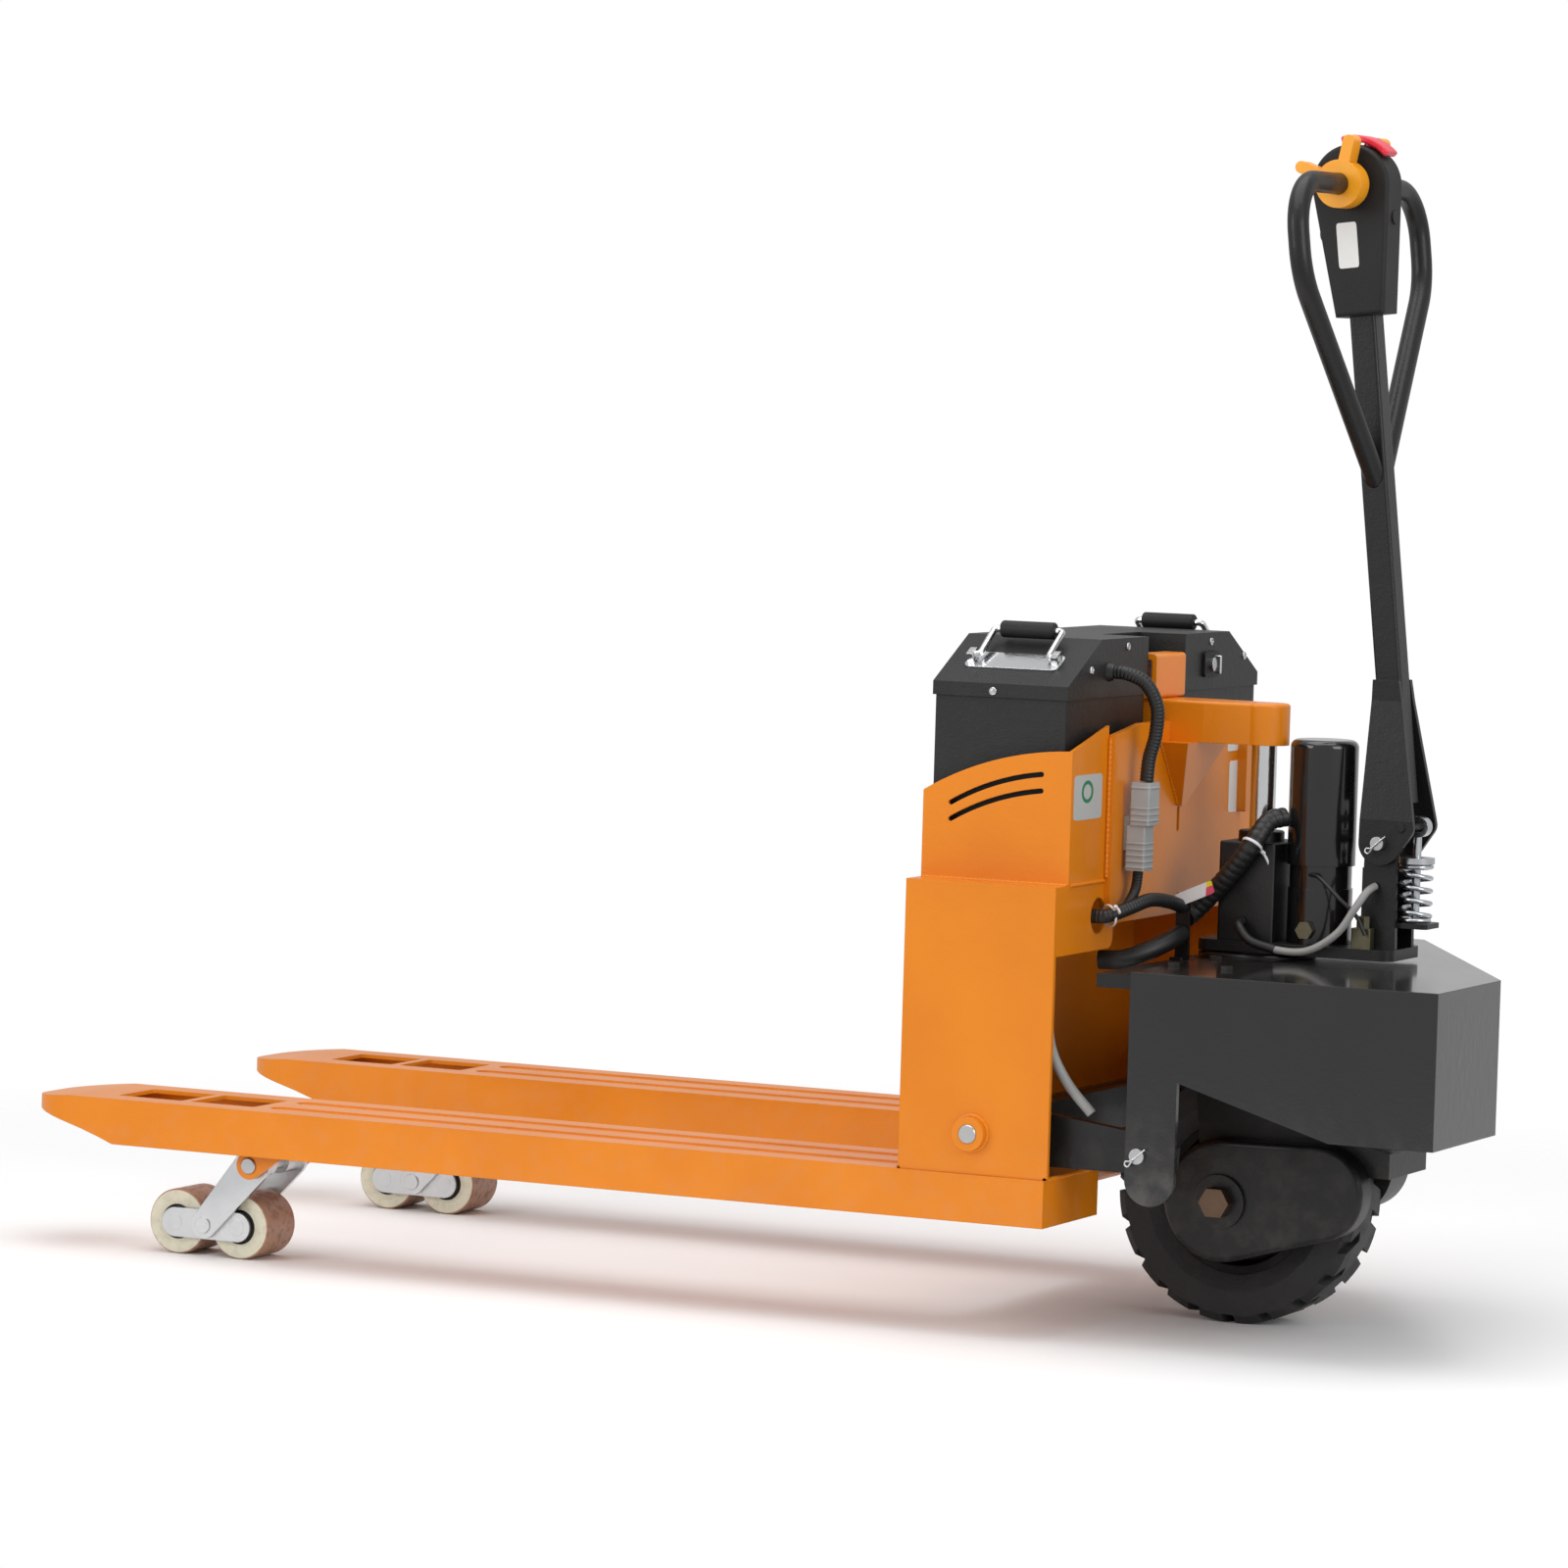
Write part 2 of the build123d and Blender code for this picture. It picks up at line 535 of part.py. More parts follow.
for side, name in SIDES:
    y = side * FORK_Y
    with BuildPart() as load_leg:
        for outer in (CHEEK_OUT, -CHEEK_IN):
            with BuildSketch(at_y(y + outer)):
                with Locations((LEG_X, LEG_Z)):
                    Circle(23)
                with Locations((BOGIE_X, BOGIE_Z)):
                    Circle(17)
                make_hull()
                with BuildLine():
                    Polyline(
                        (LEG_X - 22, LEG_Z + 6), (ROD_FRONT_X - 13, ROD_FRONT_Z + 4), (ROD_FRONT_X + 12, ROD_FRONT_Z + 7),
                        (LEG_X + 22, LEG_Z + 6), close=True,
                    )
                make_face()
                with Locations((ROD_FRONT_X, ROD_FRONT_Z)):
                    Circle(13)
                with Locations((LEG_X, LEG_Z)):
                    Circle(PIN_R + 0.05, mode=Mode.SUBTRACT)
                with Locations((BOGIE_X, BOGIE_Z)):
                    Circle(PIN_R + 0.05, mode=Mode.SUBTRACT)
            extrude(amount=CHEEK_OUT - CHEEK_IN)
        for outer in (CHEEK_IN, -14):
            with BuildSketch(at_y(y + outer)):
                with Locations((LEG_X, LEG_Z)):
                    Circle(16)
                    Circle(PIN_R + 0.05, mode=Mode.SUBTRACT)
            extrude(amount=CHEEK_IN - 14)
        with BuildSketch(at_y(y + CHEEK_OUT)):
            with Locations((ROD_FRONT_X, ROD_FRONT_Z)):
                Circle(ROD_PIN_R)
        extrude(amount=2 * CHEEK_OUT)
    write(load_leg, f"load_leg_{name}")

    with BuildPart() as bogie:
        for outer in (LINK_OUT, -LINK_IN):
            with BuildSketch(at_y(y + outer)):
                with Locations((BOGIE_X, BOGIE_Z)):
                    SlotCenterToCenter(AXLE_GAP, 36)
                for end in (-AXLE_GAP / 2, 0, AXLE_GAP / 2):
                    with Locations((BOGIE_X + end, BOGIE_Z)):
                        Circle(PIN_R, mode=Mode.SUBTRACT)
            extrude(amount=LINK_OUT - LINK_IN)
        for end in (-AXLE_GAP / 2, AXLE_GAP / 2):
            with BuildSketch(at_y(y + LINK_OUT + 0.2)):
                with Locations((BOGIE_X + end, BOGIE_Z)):
                    Circle(PIN_R - 0.02)
            extrude(amount=2 * LINK_OUT + 0.4)
        for outer in (CHEEK_OUT + 2, -LINK_IN):
            with BuildSketch(at_y(y + outer)):
                with Locations((BOGIE_X, BOGIE_Z)):
                    Circle(PIN_R - 0.02)
            extrude(amount=CHEEK_OUT + 2 - LINK_IN)
    write(bogie, f"bogie_{name}")

    for end, place in ((-1, "front"), (1, "rear")):
        with BuildPart() as roller:
            with BuildSketch(at_y(y)):
                with Locations((BOGIE_X + end * AXLE_GAP / 2, BOGIE_Z)):
                    Circle(ROLLER_R)
                    Circle(PIN_R + 0.05, mode=Mode.SUBTRACT)
            extrude(amount=ROLLER_HALF, both=True)
            rims = roller.edges().filter_by(GeomType.CIRCLE).group_by(SortBy.RADIUS)[-1]
            fillet(rims, 3)
            for face in (-1, 1):
                with BuildSketch(at_y(y + face * ROLLER_HALF)):
                    with Locations((BOGIE_X + end * AXLE_GAP / 2, BOGIE_Z)):
                        Circle(21)
                        Circle(14, mode=Mode.SUBTRACT)
                extrude(amount=2 * face, mode=Mode.SUBTRACT)
        write(roller, f"roller_{name}_{place}")

# ---------------------------------------------------------------- drive frame
COVER_REAR = HEEL + 89.0
COVER_FRONT = HEEL + BUMPER_REACH
COVER_LOW = 257.0
SKIRT_T = 8.0
FOOT_X = (COVER_REAR, HEEL + 150.0)
FOOT_LOW = 168.0
RING_R = 70.0
HUB_R = 45.0
OUTLINE = (
    (COVER_REAR, -COVER_Y), (COVER_FRONT, -COVER_Y), (COVER_FRONT, -118), (HEEL + 204, COVER_Y),
    (COVER_REAR, COVER_Y),
)

with BuildPart() as bumper_cover:
    with BuildSketch(Plane.XY.offset(COVER_LOW)):
        with BuildLine():
            Polyline(*OUTLINE, close=True)
        make_face()
    extrude(amount=COVER_TOP - COVER_LOW)
    with BuildSketch(Plane.XY.offset(COVER_LOW)):
        with BuildLine():
            Polyline(
                (COVER_REAR, SKIRT_T - COVER_Y), (COVER_FRONT - SKIRT_T, SKIRT_T - COVER_Y),
                (COVER_FRONT - SKIRT_T, -121), (HEEL + 199, COVER_Y - SKIRT_T), (COVER_REAR, COVER_Y - SKIRT_T),
                close=True,
            )
        make_face()
    extrude(amount=COVER_TOP - 5 - COVER_LOW, mode=Mode.SUBTRACT)
    for outer in (COVER_Y, SKIRT_T - COVER_Y):
        with BuildSketch(at_y(outer)):
            with Locations((sum(FOOT_X) / 2, (FOOT_LOW + 300) / 2)):
                Rectangle(FOOT_X[1] - FOOT_X[0], 300 - FOOT_LOW - 56)
            with Locations((sum(FOOT_X) / 2, (FOOT_LOW + 30 + 300) / 2)):
                Rectangle(FOOT_X[1] - FOOT_X[0], 300 - FOOT_LOW - 30)
            with Locations((sum(FOOT_X) / 2, FOOT_LOW + 30.5)):
                Circle(30.5)
        extrude(amount=SKIRT_T)
    with BuildSketch(at_y(COVER_Y)):
        with BuildLine():
            Polyline((FOOT_X[1], COVER_LOW - 5), (FOOT_X[1], 312), (HEEL + 352, COVER_LOW - 5), close=True)
        make_face()
    extrude(amount=2 * COVER_Y, mode=Mode.SUBTRACT)
    with BuildSketch(Plane.XY.offset(COVER_TOP)):
        with Locations((AXIS_X, 0)):
            Circle(RING_R)
    extrude(amount=-5, mode=Mode.SUBTRACT)
    with BuildSketch(at_y(COVER_Y)):
        with Locations((LEG_PIN_X, LEG_PIN_Z)):
            Circle(LEG_PIN_R)
    extrude(amount=2 * COVER_Y, mode=Mode.SUBTRACT)
write(bumper_cover, "bumper_cover")

with BuildPart() as bearing_frame:
    with BuildSketch(Plane.XY.offset(COVER_TOP - 5)):
        with Locations((AXIS_X + 2, 0)):
            Rectangle(146, 2 * (COVER_Y - SKIRT_T))
    extrude(amount=-16)
    with BuildSketch(Plane.XY.offset(404)):
        with Locations((AXIS_X, 0)):
            Circle(RING_R)
    extrude(amount=34)
    chamfer(bearing_frame.edges().filter_by(GeomType.CIRCLE).group_by(Axis.Z)[-1], 2)
    with BuildSketch(Plane.XY.offset(400)):
        with Locations((AXIS_X, 0)):
            Circle(HUB_R + 0.05)
    extrude(amount=40, mode=Mode.SUBTRACT)
write(bearing_frame, "bearing_frame")

with BuildPart() as frame_leg_pins:
    for side, name in SIDES:
        with BuildSketch(at_y(COVER_Y + 5 if side > 0 else -ARM_Y + ARM_T + 6)):
            with Locations((LEG_PIN_X, LEG_PIN_Z)):
                Circle(LEG_PIN_R - 0.02)
        extrude(amount=COVER_Y + 5 - ARM_Y + ARM_T + 6)
write(frame_leg_pins, "frame_leg_pins")

with BuildPart() as cover_bolts:
    for x, y in ((100, -225), (100, 225), (166, -225), (166, 225), (106, -110), (106, 110)):
        with BuildSketch(Plane.XY.offset(COVER_TOP)):
            with Locations((HEEL + x, y)):
                RegularPolygon(8, 6)
        extrude(amount=4)
write(cover_bolts, "cover_bolts")

CLIP = (HEEL + 53.0, -84.0)
with BuildPart() as hose_clip:
    with BuildSketch(Plane.XY.offset(COVER_TOP - 5)):
        with Locations((CLIP[0], CLIP[1] - 8)):
            RectangleRounded(17, 24, 3)
    extrude(amount=3)
    with BuildSketch(Plane.XY.offset(COVER_TOP - 5)):
        with Locations(CLIP):
            Rectangle(17, 4)
    extrude(amount=78)
write(hose_clip, "hose_clip")

# ---------------------------------------------------------------- steering unit
YOKE_TOP = 402.0
DECK_LOW = 440.0
DECK_TOP = 453.0
TYRE_HALF = 45.0
AXLE_R = 14.0
MOTOR_AXIS = (HEEL + 212.0, 184.0)
PUMP_X = HEEL + 191.0

with BuildPart() as steer_yoke:
    with BuildSketch(Plane.XY.offset(386)):
        with Locations((AXIS_X, 0)):
            Circle(95)
    extrude(amount=YOKE_TOP - 386)
    with BuildSketch(Plane.XY.offset(YOKE_TOP)):
        with Locations((AXIS_X, 0)):
            Circle(HUB_R)
    extrude(amount=DECK_LOW - YOKE_TOP)
    for outer in (62, -50):
        with BuildSketch(at_y(outer)):
            with BuildLine():
                Polyline(
                    (AXIS_X - 55, 386), (AXIS_X - 36, WHEEL_R), (AXIS_X + 36, WHEEL_R), (AXIS_X + 55, 386),
                    close=True,
                )
            make_face()
            with Locations((AXIS_X, WHEEL_R)):
                Circle(36)
                Circle(AXLE_R, mode=Mode.SUBTRACT)
        extrude(amount=12)
    with BuildSketch(at_y(62)):
        with Locations((HEEL + 290, 203)):
            Rectangle(44, 30)
    extrude(amount=124)
    for outer in (62, -50):
        with BuildSketch(at_y(outer)):
            with BuildLine():
                Polyline(
                    (AXIS_X + 20, 262), (AXIS_X + 20, 196), (HEEL + 312, 188), (HEEL + 312, 218), close=True
                )
            make_face()
        extrude(amount=12)
write(steer_yoke, "steer_yoke")

with BuildPart() as gear_case:
    with BuildSketch(at_y(-62)):
        with Locations((AXIS_X, WHEEL_R)):
            Circle(72)
        with Locations((HEEL + 235, 168)):
            Circle(56)
        make_hull()
    extrude(amount=33)
    fillet(gear_case.edges().group_by(Axis.Y)[0], 7)
    with BuildSketch(at_y(-95)):
        with Locations((AXIS_X, WHEEL_R)):
            Circle(32)
    extrude(amount=5)
    with BuildSketch(at_y(-62)):
        with Locations((AXIS_X, WHEEL_R)):
            Circle(AXLE_R)
    extrude(amount=40, mode=Mode.SUBTRACT)
write(gear_case, "gear_case")

with BuildPart() as wheel_axle:
    with BuildSketch(at_y(78)):
        with Locations((AXIS_X, WHEEL_R)):
            Circle(AXLE_R - 0.02)
    extrude(amount=178)
    with BuildSketch(at_y(-100)):
        with Locations((AXIS_X, WHEEL_R)):
            RegularPolygon(19, 6)
    extrude(amount=15)
write(wheel_axle, "wheel_axle")

with BuildPart() as drive_motor:
    with BuildSketch(at_y(80)):
        with Locations((AXIS_X, WHEEL_R)):
            Circle(58)
        with Locations(MOTOR_AXIS):
            Circle(58)
        make_hull()
        with Locations((AXIS_X, WHEEL_R)):
            Circle(AXLE_R, mode=Mode.SUBTRACT)
    extrude(amount=18)
    with BuildSketch(at_y(80)):
        with Locations(MOTOR_AXIS):
            Circle(55)
    extrude(amount=-55)
    fillet(drive_motor.edges().group_by(Axis.Y)[-1], 8)
write(drive_motor, "drive_motor")

with BuildPart() as pump_block:
    with BuildSketch(Plane.XY.offset(DECK_TOP)):
        with Locations((AXIS_X, 0)):
            RectangleRounded(70, 90, 3)
    extrude(amount=569 - DECK_TOP)
    chamfer(pump_block.edges().group_by(Axis.Z)[-1], 1.5)
    with BuildSketch(Plane.XY.offset(569)):
        with Locations((AXIS_X, 0)):
            Circle(27)
    extrude(amount=12)
    chamfer(pump_block.edges().filter_by(GeomType.CIRCLE).group_by(Axis.Z)[-1], 1.5)
    with BuildSketch(Plane.XY.offset(462)):
        with Locations((AXIS_X, 0)):
            Circle(ROD_R + 0.05)
    extrude(amount=120, mode=Mode.SUBTRACT)
write(pump_block, "pump_block")

PUMP_STEPS = ((38, DECK_TOP, 518), (36.5, 518, 545), (40, 545, 692))  # body, clamp ring, motor can
with BuildPart() as pump_motor:
    for radius, low, high in PUMP_STEPS:
        with BuildSketch(Plane.XY.offset(low)):
            with Locations((PUMP_X, 0)):
                Circle(radius)
        extrude(amount=high - low)
    fillet(pump_motor.edges().group_by(Axis.Z)[-1], 9)
write(pump_motor, "pump_motor")

BRACKET_X = HEEL + 278.0  # tiller pivot
PIVOT_Z = 577.0
PIVOT_R = 8.0
SPRING_X = HEEL + 310.0
SEAT_Z = 484.0
SPRING_TOP = 553.0
EYE_Z = 596.0

with BuildPart() as tiller_bracket:
    with BuildSketch(Plane.XY.offset(DECK_LOW)):
        with Locations((HEEL + 178, 0)):
            RectangleRounded(245, 104, 14)
    extrude(amount=DECK_TOP - DECK_LOW)
    for outer in (32, -24):
        with BuildSketch(at_y(outer)):
            with BuildLine():
                Polyline(
                    (HEEL + 255, DECK_TOP), (HEEL + 298, DECK_TOP), (HEEL + 296, 540), (BRACKET_X + 20, PIVOT_Z),
                    (BRACKET_X - 21, PIVOT_Z), close=True,
                )
            make_face()
            with Locations((BRACKET_X, PIVOT_Z)):
                Circle(21)
                Circle(PIVOT_R + 0.05, mode=Mode.SUBTRACT)
        extrude(amount=8)
    with BuildSketch(Plane.YZ.offset(HEEL + 255)):
        with Locations((0, 500)):
            Rectangle(64, 94)
    extrude(amount=6)
    with BuildSketch(Plane.XY.offset(SEAT_Z)):
        with Locations((HEEL + 297, 0)):
            RectangleRounded(72, 48, 6)
        with Locations((SPRING_X, 0)):
            Circle(6.5, mode=Mode.SUBTRACT)
    extrude(amount=-6)
write(tiller_bracket, "tiller_bracket")

with BuildPart() as tiller_pin:
    with BuildSketch(at_y(48)):
        with Locations((BRACKET_X, PIVOT_Z)):
            Circle(PIVOT_R - 0.02)
    extrude(amount=99)
    with BuildSketch(at_y(48)):
        with Locations((BRACKET_X, PIVOT_Z)):
            Circle(11)
    extrude(amount=-4)
write(tiller_pin, "tiller_pin")

COIL_R = 17.5
WIRE_R = 3.0
TURNS = 5
with BuildPart() as tiller_spring:
    with BuildLine() as coil:
        Helix((SPRING_TOP - SEAT_Z - 2 * WIRE_R) / TURNS, SPRING_TOP - SEAT_Z - 2 * WIRE_R, COIL_R,
              center=(SPRING_X, 0, SEAT_Z + WIRE_R))
    with BuildSketch(Plane(origin=coil.edges()[0] @ 0, z_dir=coil.edges()[0] % 0)):
        Circle(WIRE_R)
    sweep(path=coil.edges()[0], is_frenet=True)
write(tiller_spring, "tiller_spring")

with BuildPart() as spring_rod:
    with BuildSketch(Plane.XY.offset(SPRING_TOP)):
        with Locations((SPRING_X, 0)):
            Circle(21)
    extrude(amount=7)
    with BuildSketch(Plane.XY.offset(477)):
        with Locations((SPRING_X, 0)):
            Circle(5)
    extrude(amount=EYE_Z - 487)
    with BuildSketch(at_y(8)):
        with Locations((HEEL + 306, EYE_Z)):
            SlotOverall(38, 24)
            SlotOverall(27, 13, mode=Mode.SUBTRACT)
    extrude(amount=16)
write(spring_rod, "spring_rod")

with BuildPart() as pump_fittings:
    with BuildSketch(Plane.XY.offset(DECK_TOP)):
        with Locations((HEEL + 262, -43)):
            RectangleRounded(24, 16, 2)
    extrude(amount=24)
    with BuildSketch(Plane.XY.offset(DECK_TOP + 24)):
        with Locations((HEEL + 262, -43)):
            RegularPolygon(8, 6)
    extrude(amount=14)
    with BuildSketch(at_y(-38)):
        with Locations((PUMP_X, 470)):
            RegularPolygon(11, 6)
    extrude(amount=12)
write(pump_fittings, "pump_fittings")

# ---------------------------------------------------------------- drive wheel
with BuildPart() as drive_tyre:
    with BuildSketch(Plane.YZ.offset(AXIS_X)):
        with BuildLine():
            Polyline(
                (-38, WHEEL_R + 92), (-TYRE_HALF, WHEEL_R + 112), (-TYRE_HALF, WHEEL_R + 141), (-39, 2 * WHEEL_R),
                (39, 2 * WHEEL_R), (TYRE_HALF, WHEEL_R + 141), (TYRE_HALF, WHEEL_R + 112), (38, WHEEL_R + 92),
                close=True,
            )
        make_face()
    revolve(axis=Axis((AXIS_X, 0, WHEEL_R), (0, 1, 0)))
    for step in range(20):
        for side, name in SIDES:
            turn = radians(18 * step + (9 if side > 0 else 0))
            place = Plane(
                origin=(AXIS_X + (WHEEL_R - 3) * cos(turn), side * 32, WHEEL_R + (WHEEL_R - 3) * sin(turn)),
                x_dir=(-sin(turn), side * 0.45, cos(turn)), z_dir=(cos(turn), 0, sin(turn)),
            )
            with BuildSketch(place.offset(-7)):
                Rectangle(14, 44)
            extrude(amount=14, mode=Mode.SUBTRACT)
write(drive_tyre, "drive_tyre")

with BuildPart() as wheel_rim:
    with BuildSketch(Plane.YZ.offset(AXIS_X)):
        with BuildLine():
            Polyline(
                (-48, WHEEL_R + AXLE_R + 0.05), (48, WHEEL_R + AXLE_R + 0.05), (48, WHEEL_R + 34), (16, WHEEL_R + 36),
                (12, WHEEL_R + 78), (38, WHEEL_R + 82), (38, WHEEL_R + 92), (-38, WHEEL_R + 92),
                (-38, WHEEL_R + 82), (-12, WHEEL_R + 78), (-16, WHEEL_R + 36), (-48, WHEEL_R + 34), close=True,
            )
        make_face()
    revolve(axis=Axis((AXIS_X, 0, WHEEL_R), (0, 1, 0)))
write(wheel_rim, "wheel_rim")

# ---------------------------------------------------------------- tiller
TILLER_X = HEEL + 291.0
TILLER_Z = 600.0
LEAN = radians(TILLER_LEAN)
TUBE_START = 22.0  # distances along the tiller from the point above its pivot
TUBE_END = 592.0
HEAD_T = 744.0
HEAD_R = 47.5
HEAD_HALF = 25.0
LOOP_R = 12.5
LOOP_Y = 199.0
ACROSS = (cos(LEAN), 0, sin(LEAN))
ALONG = (-sin(LEAN), 0, cos(LEAN))


def tiller_side(y):
    """Upright plane in line with the tiller: local y runs up it, extrusion runs to -Y."""
    return Plane(origin=(TILLER_X, y, TILLER_Z), x_dir=ACROSS, z_dir=(0, -1, 0))


TILLER_CROSS = Plane(origin=(TILLER_X, 0, TILLER_Z), x_dir=ACROSS, z_dir=ALONG)
TILLER_FACE = Plane(origin=(TILLER_X, 0, TILLER_Z), x_dir=(0, 1, 0), z_dir=ACROSS)

with BuildPart() as tiller_plates:
    for side, name in SIDES:
        with BuildSketch(Plane.YZ.offset(HEEL + 230)):
            with BuildLine():
                Polyline(
                    (side * 34, 545), (side * 41, 545), (side * 41, 604), (side * 22.8, 742), (side * 22.8, 768),
                    (side * 15.8, 768), (side * 15.8, 742), (side * 34, 600), close=True,
                )
            make_face()
        extrude(amount=110)
    with BuildSketch(at_y(60)):
        with Locations((BRACKET_X, PIVOT_Z)):
            Circle(26)
        with Locations((HEEL + 304, EYE_Z)):
            Circle(15)
        with Locations((HEEL + 272, 765)):
            Rectangle(32, 2)
        make_hull()
        with Locations((BRACKET_X, PIVOT_Z)):
            Circle(PIVOT_R + 0.05, mode=Mode.SUBTRACT)
    extrude(amount=120, mode=Mode.INTERSECT)

with BuildPart() as tiller_tube:
    with BuildSketch(TILLER_CROSS.offset(TUBE_START)):
        RectangleRounded(32, 32, 4)
        RectangleRounded(26, 26, 2, mode=Mode.SUBTRACT)
    extrude(amount=TUBE_END - TUBE_START)
    add(tiller_plates.part)
    with BuildSketch(at_y(43)):
        with Locations((HEEL + 304, EYE_Z)):
            Circle(5)
    extrude(amount=86)
write(tiller_tube, "tiller_tube")

LOOP_ROUTE = (
    (4, 396), (LOOP_Y, 634), (LOOP_Y, HEAD_T), (-LOOP_Y, HEAD_T), (-LOOP_Y, 634), (-4, 396),
)
with BuildPart() as handle_loop:
    loop_points = [TILLER_FACE.from_local_coords((across, up, 0)) for across, up in LOOP_ROUTE]
    with BuildLine() as loop_path:
        FilletPolyline(*loop_points, radius=(90, 60, 60, 90))
    with BuildSketch(Plane(origin=loop_points[0], z_dir=loop_points[1] - loop_points[0])):
        Circle(LOOP_R)
    sweep(path=loop_path.wires()[0])
    with BuildSketch(TILLER_CROSS.offset(350)):
        Rectangle(32, 32)
    extrude(amount=120, mode=Mode.SUBTRACT)
write(handle_loop, "handle_loop")

SLEEVE_R = 16.0
THROTTLE_IN = 34.0
THROTTLE_OUT = 62.0
THROTTLE_R = 28.0
BELLY_IN = 50.5
BELLY_OUT = 58.5
BELLY_FROM = 35.0
BELLY_TO = 100.0
BELLY_Y = 17.0
BELLY_MID = (BELLY_FROM + BELLY_TO) / 2
HORN_T = 703.0
KEYS_T = 690.0


def head_outline(inset):
    """Round head that tapers to the tube."""
    with Locations((0, HEAD_T)):
        Circle(HEAD_R - inset)
    with Locations((0, TUBE_END + 6)):
        Rectangle(60 - 2 * inset, 12 - 2 * inset)
    make_hull()


def button(distance, across, radius, start, length):
    """Round button standing on the tiller's front (length over 0) or rear face."""
    with BuildSketch(TILLER_FACE.offset(start)) as face:
        with Locations((across, distance)):
            Circle(radius)
    extrude(face.sketch, amount=length)


with BuildPart() as head_shell:
    with BuildSketch(tiller_side(HEAD_HALF)):
        head_outline(0)
    extrude(amount=2 * HEAD_HALF)
    fillet(head_shell.edges().group_by(Axis.Y)[0] + head_shell.edges().group_by(Axis.Y)[-1], 5)
    with BuildSketch(tiller_side(HEAD_HALF - 3)):
        head_outline(3)
    extrude(amount=2 * HEAD_HALF - 6, mode=Mode.SUBTRACT)
    with BuildSketch(tiller_side(HEAD_HALF)):
        with Locations((0, HEAD_T)):
            Circle(SLEEVE_R + 0.3)
    extrude(amount=2 * HEAD_HALF, mode=Mode.SUBTRACT)
    with BuildSketch(TILLER_FACE.offset(30)):
        with Locations((0, HORN_T)):
            Circle(8.3)
    extrude(amount=20, mode=Mode.SUBTRACT)
    with BuildSketch(TILLER_FACE.offset(-30)):
        for across in (-12, 12):
            with Locations((across, KEYS_T)):
                Circle(7.3)
    extrude(amount=-20, mode=Mode.SUBTRACT)
    stem_plane = Plane(
        origin=tiller_side(0).from_local_coords((0, HEAD_T, 0)),
        z_dir=tiller_side(0).from_local_coords((cos(radians(BELLY_MID)), sin(radians(BELLY_MID)), 0))
        - tiller_side(0).origin,
    )
    with BuildSketch(stem_plane.offset(35)):
        Circle(6.3)
    extrude(amount=20, mode=Mode.SUBTRACT)
write(head_shell, "head_shell")

with BuildPart() as throttle:
    for outer, inner in ((THROTTLE_OUT, THROTTLE_IN), (-THROTTLE_IN, -THROTTLE_OUT)):
        with BuildSketch(tiller_side(outer)):
            with Locations((0, HEAD_T)):
                Circle(THROTTLE_R)
        extrude(amount=outer - inner)
        with BuildSketch(tiller_side(outer - 2)):
            for turn in (72, 152):
                with Locations((36 * cos(radians(turn)), HEAD_T + 36 * sin(radians(turn)))):
                    SlotOverall(44, 14, rotation=turn)
        extrude(amount=outer - inner - 4)
    with BuildSketch(tiller_side(THROTTLE_OUT)):
        with Locations((0, HEAD_T)):
            Circle(SLEEVE_R)
    extrude(amount=2 * THROTTLE_OUT)
    with BuildSketch(tiller_side(THROTTLE_OUT)):
        with Locations((0, HEAD_T)):
            Circle(LOOP_R + 0.05)
    extrude(amount=2 * THROTTLE_OUT, mode=Mode.SUBTRACT)
write(throttle, "throttle")

with BuildPart() as belly_button:
    with BuildSketch(tiller_side(BELLY_Y)):
        with BuildLine():
            CenterArc((0, HEAD_T), BELLY_IN, BELLY_FROM, BELLY_TO - BELLY_FROM)
            CenterArc((0, HEAD_T), BELLY_OUT, BELLY_FROM, BELLY_TO - BELLY_FROM)
            for turn in (BELLY_FROM, BELLY_TO):
                Line(
                    (BELLY_IN * cos(radians(turn)), HEAD_T + BELLY_IN * sin(radians(turn))),
                    (BELLY_OUT * cos(radians(turn)), HEAD_T + BELLY_OUT * sin(radians(turn))),
                )
        make_face()
    extrude(amount=2 * BELLY_Y)
    fillet(belly_button.edges(), 2.5)
    with BuildSketch(stem_plane.offset(38)):
        Circle(6)
    extrude(amount=14)
write(belly_button, "belly_button")

with BuildPart() as horn_button:
    button(HORN_T, 0, 8, 36, 8.6)
write(horn_button, "horn_button")

for label, across in (("raise_button", -12), ("lower_button", 12)):
    with BuildPart() as key_button:
        button(KEYS_T, across, 7, -35, -8)
    write(key_button, label)

# ---------------------------------------------------------------- wiring
CONDUIT_R = 8.0
PUMP_CABLE_R = 11.0


def tube(route, radius):
    """Round tube along straight runs, joined by arcs as large as each pair of runs allows."""
    points = [Vector(HEEL + x, y, z) for x, y, z in route]
    radii = []
    for before, here, after in zip(points, points[1:], points[2:]):
        back = before - here
        ahead = after - here
        turn = radians(180 - back.get_angle(ahead))
        radii.append(0.45 * min(back.length, ahead.length) / tan(turn / 2))
    print("arc radii", [round(value) for value in radii])
    with BuildLine() as path:
        FilletPolyline(*points, radius=radii)
    with BuildSketch(Plane(origin=points[0], z_dir=points[1] - points[0])) as section:
        Circle(radius)
    sweep(section.sketch, path=path.wires()[0])


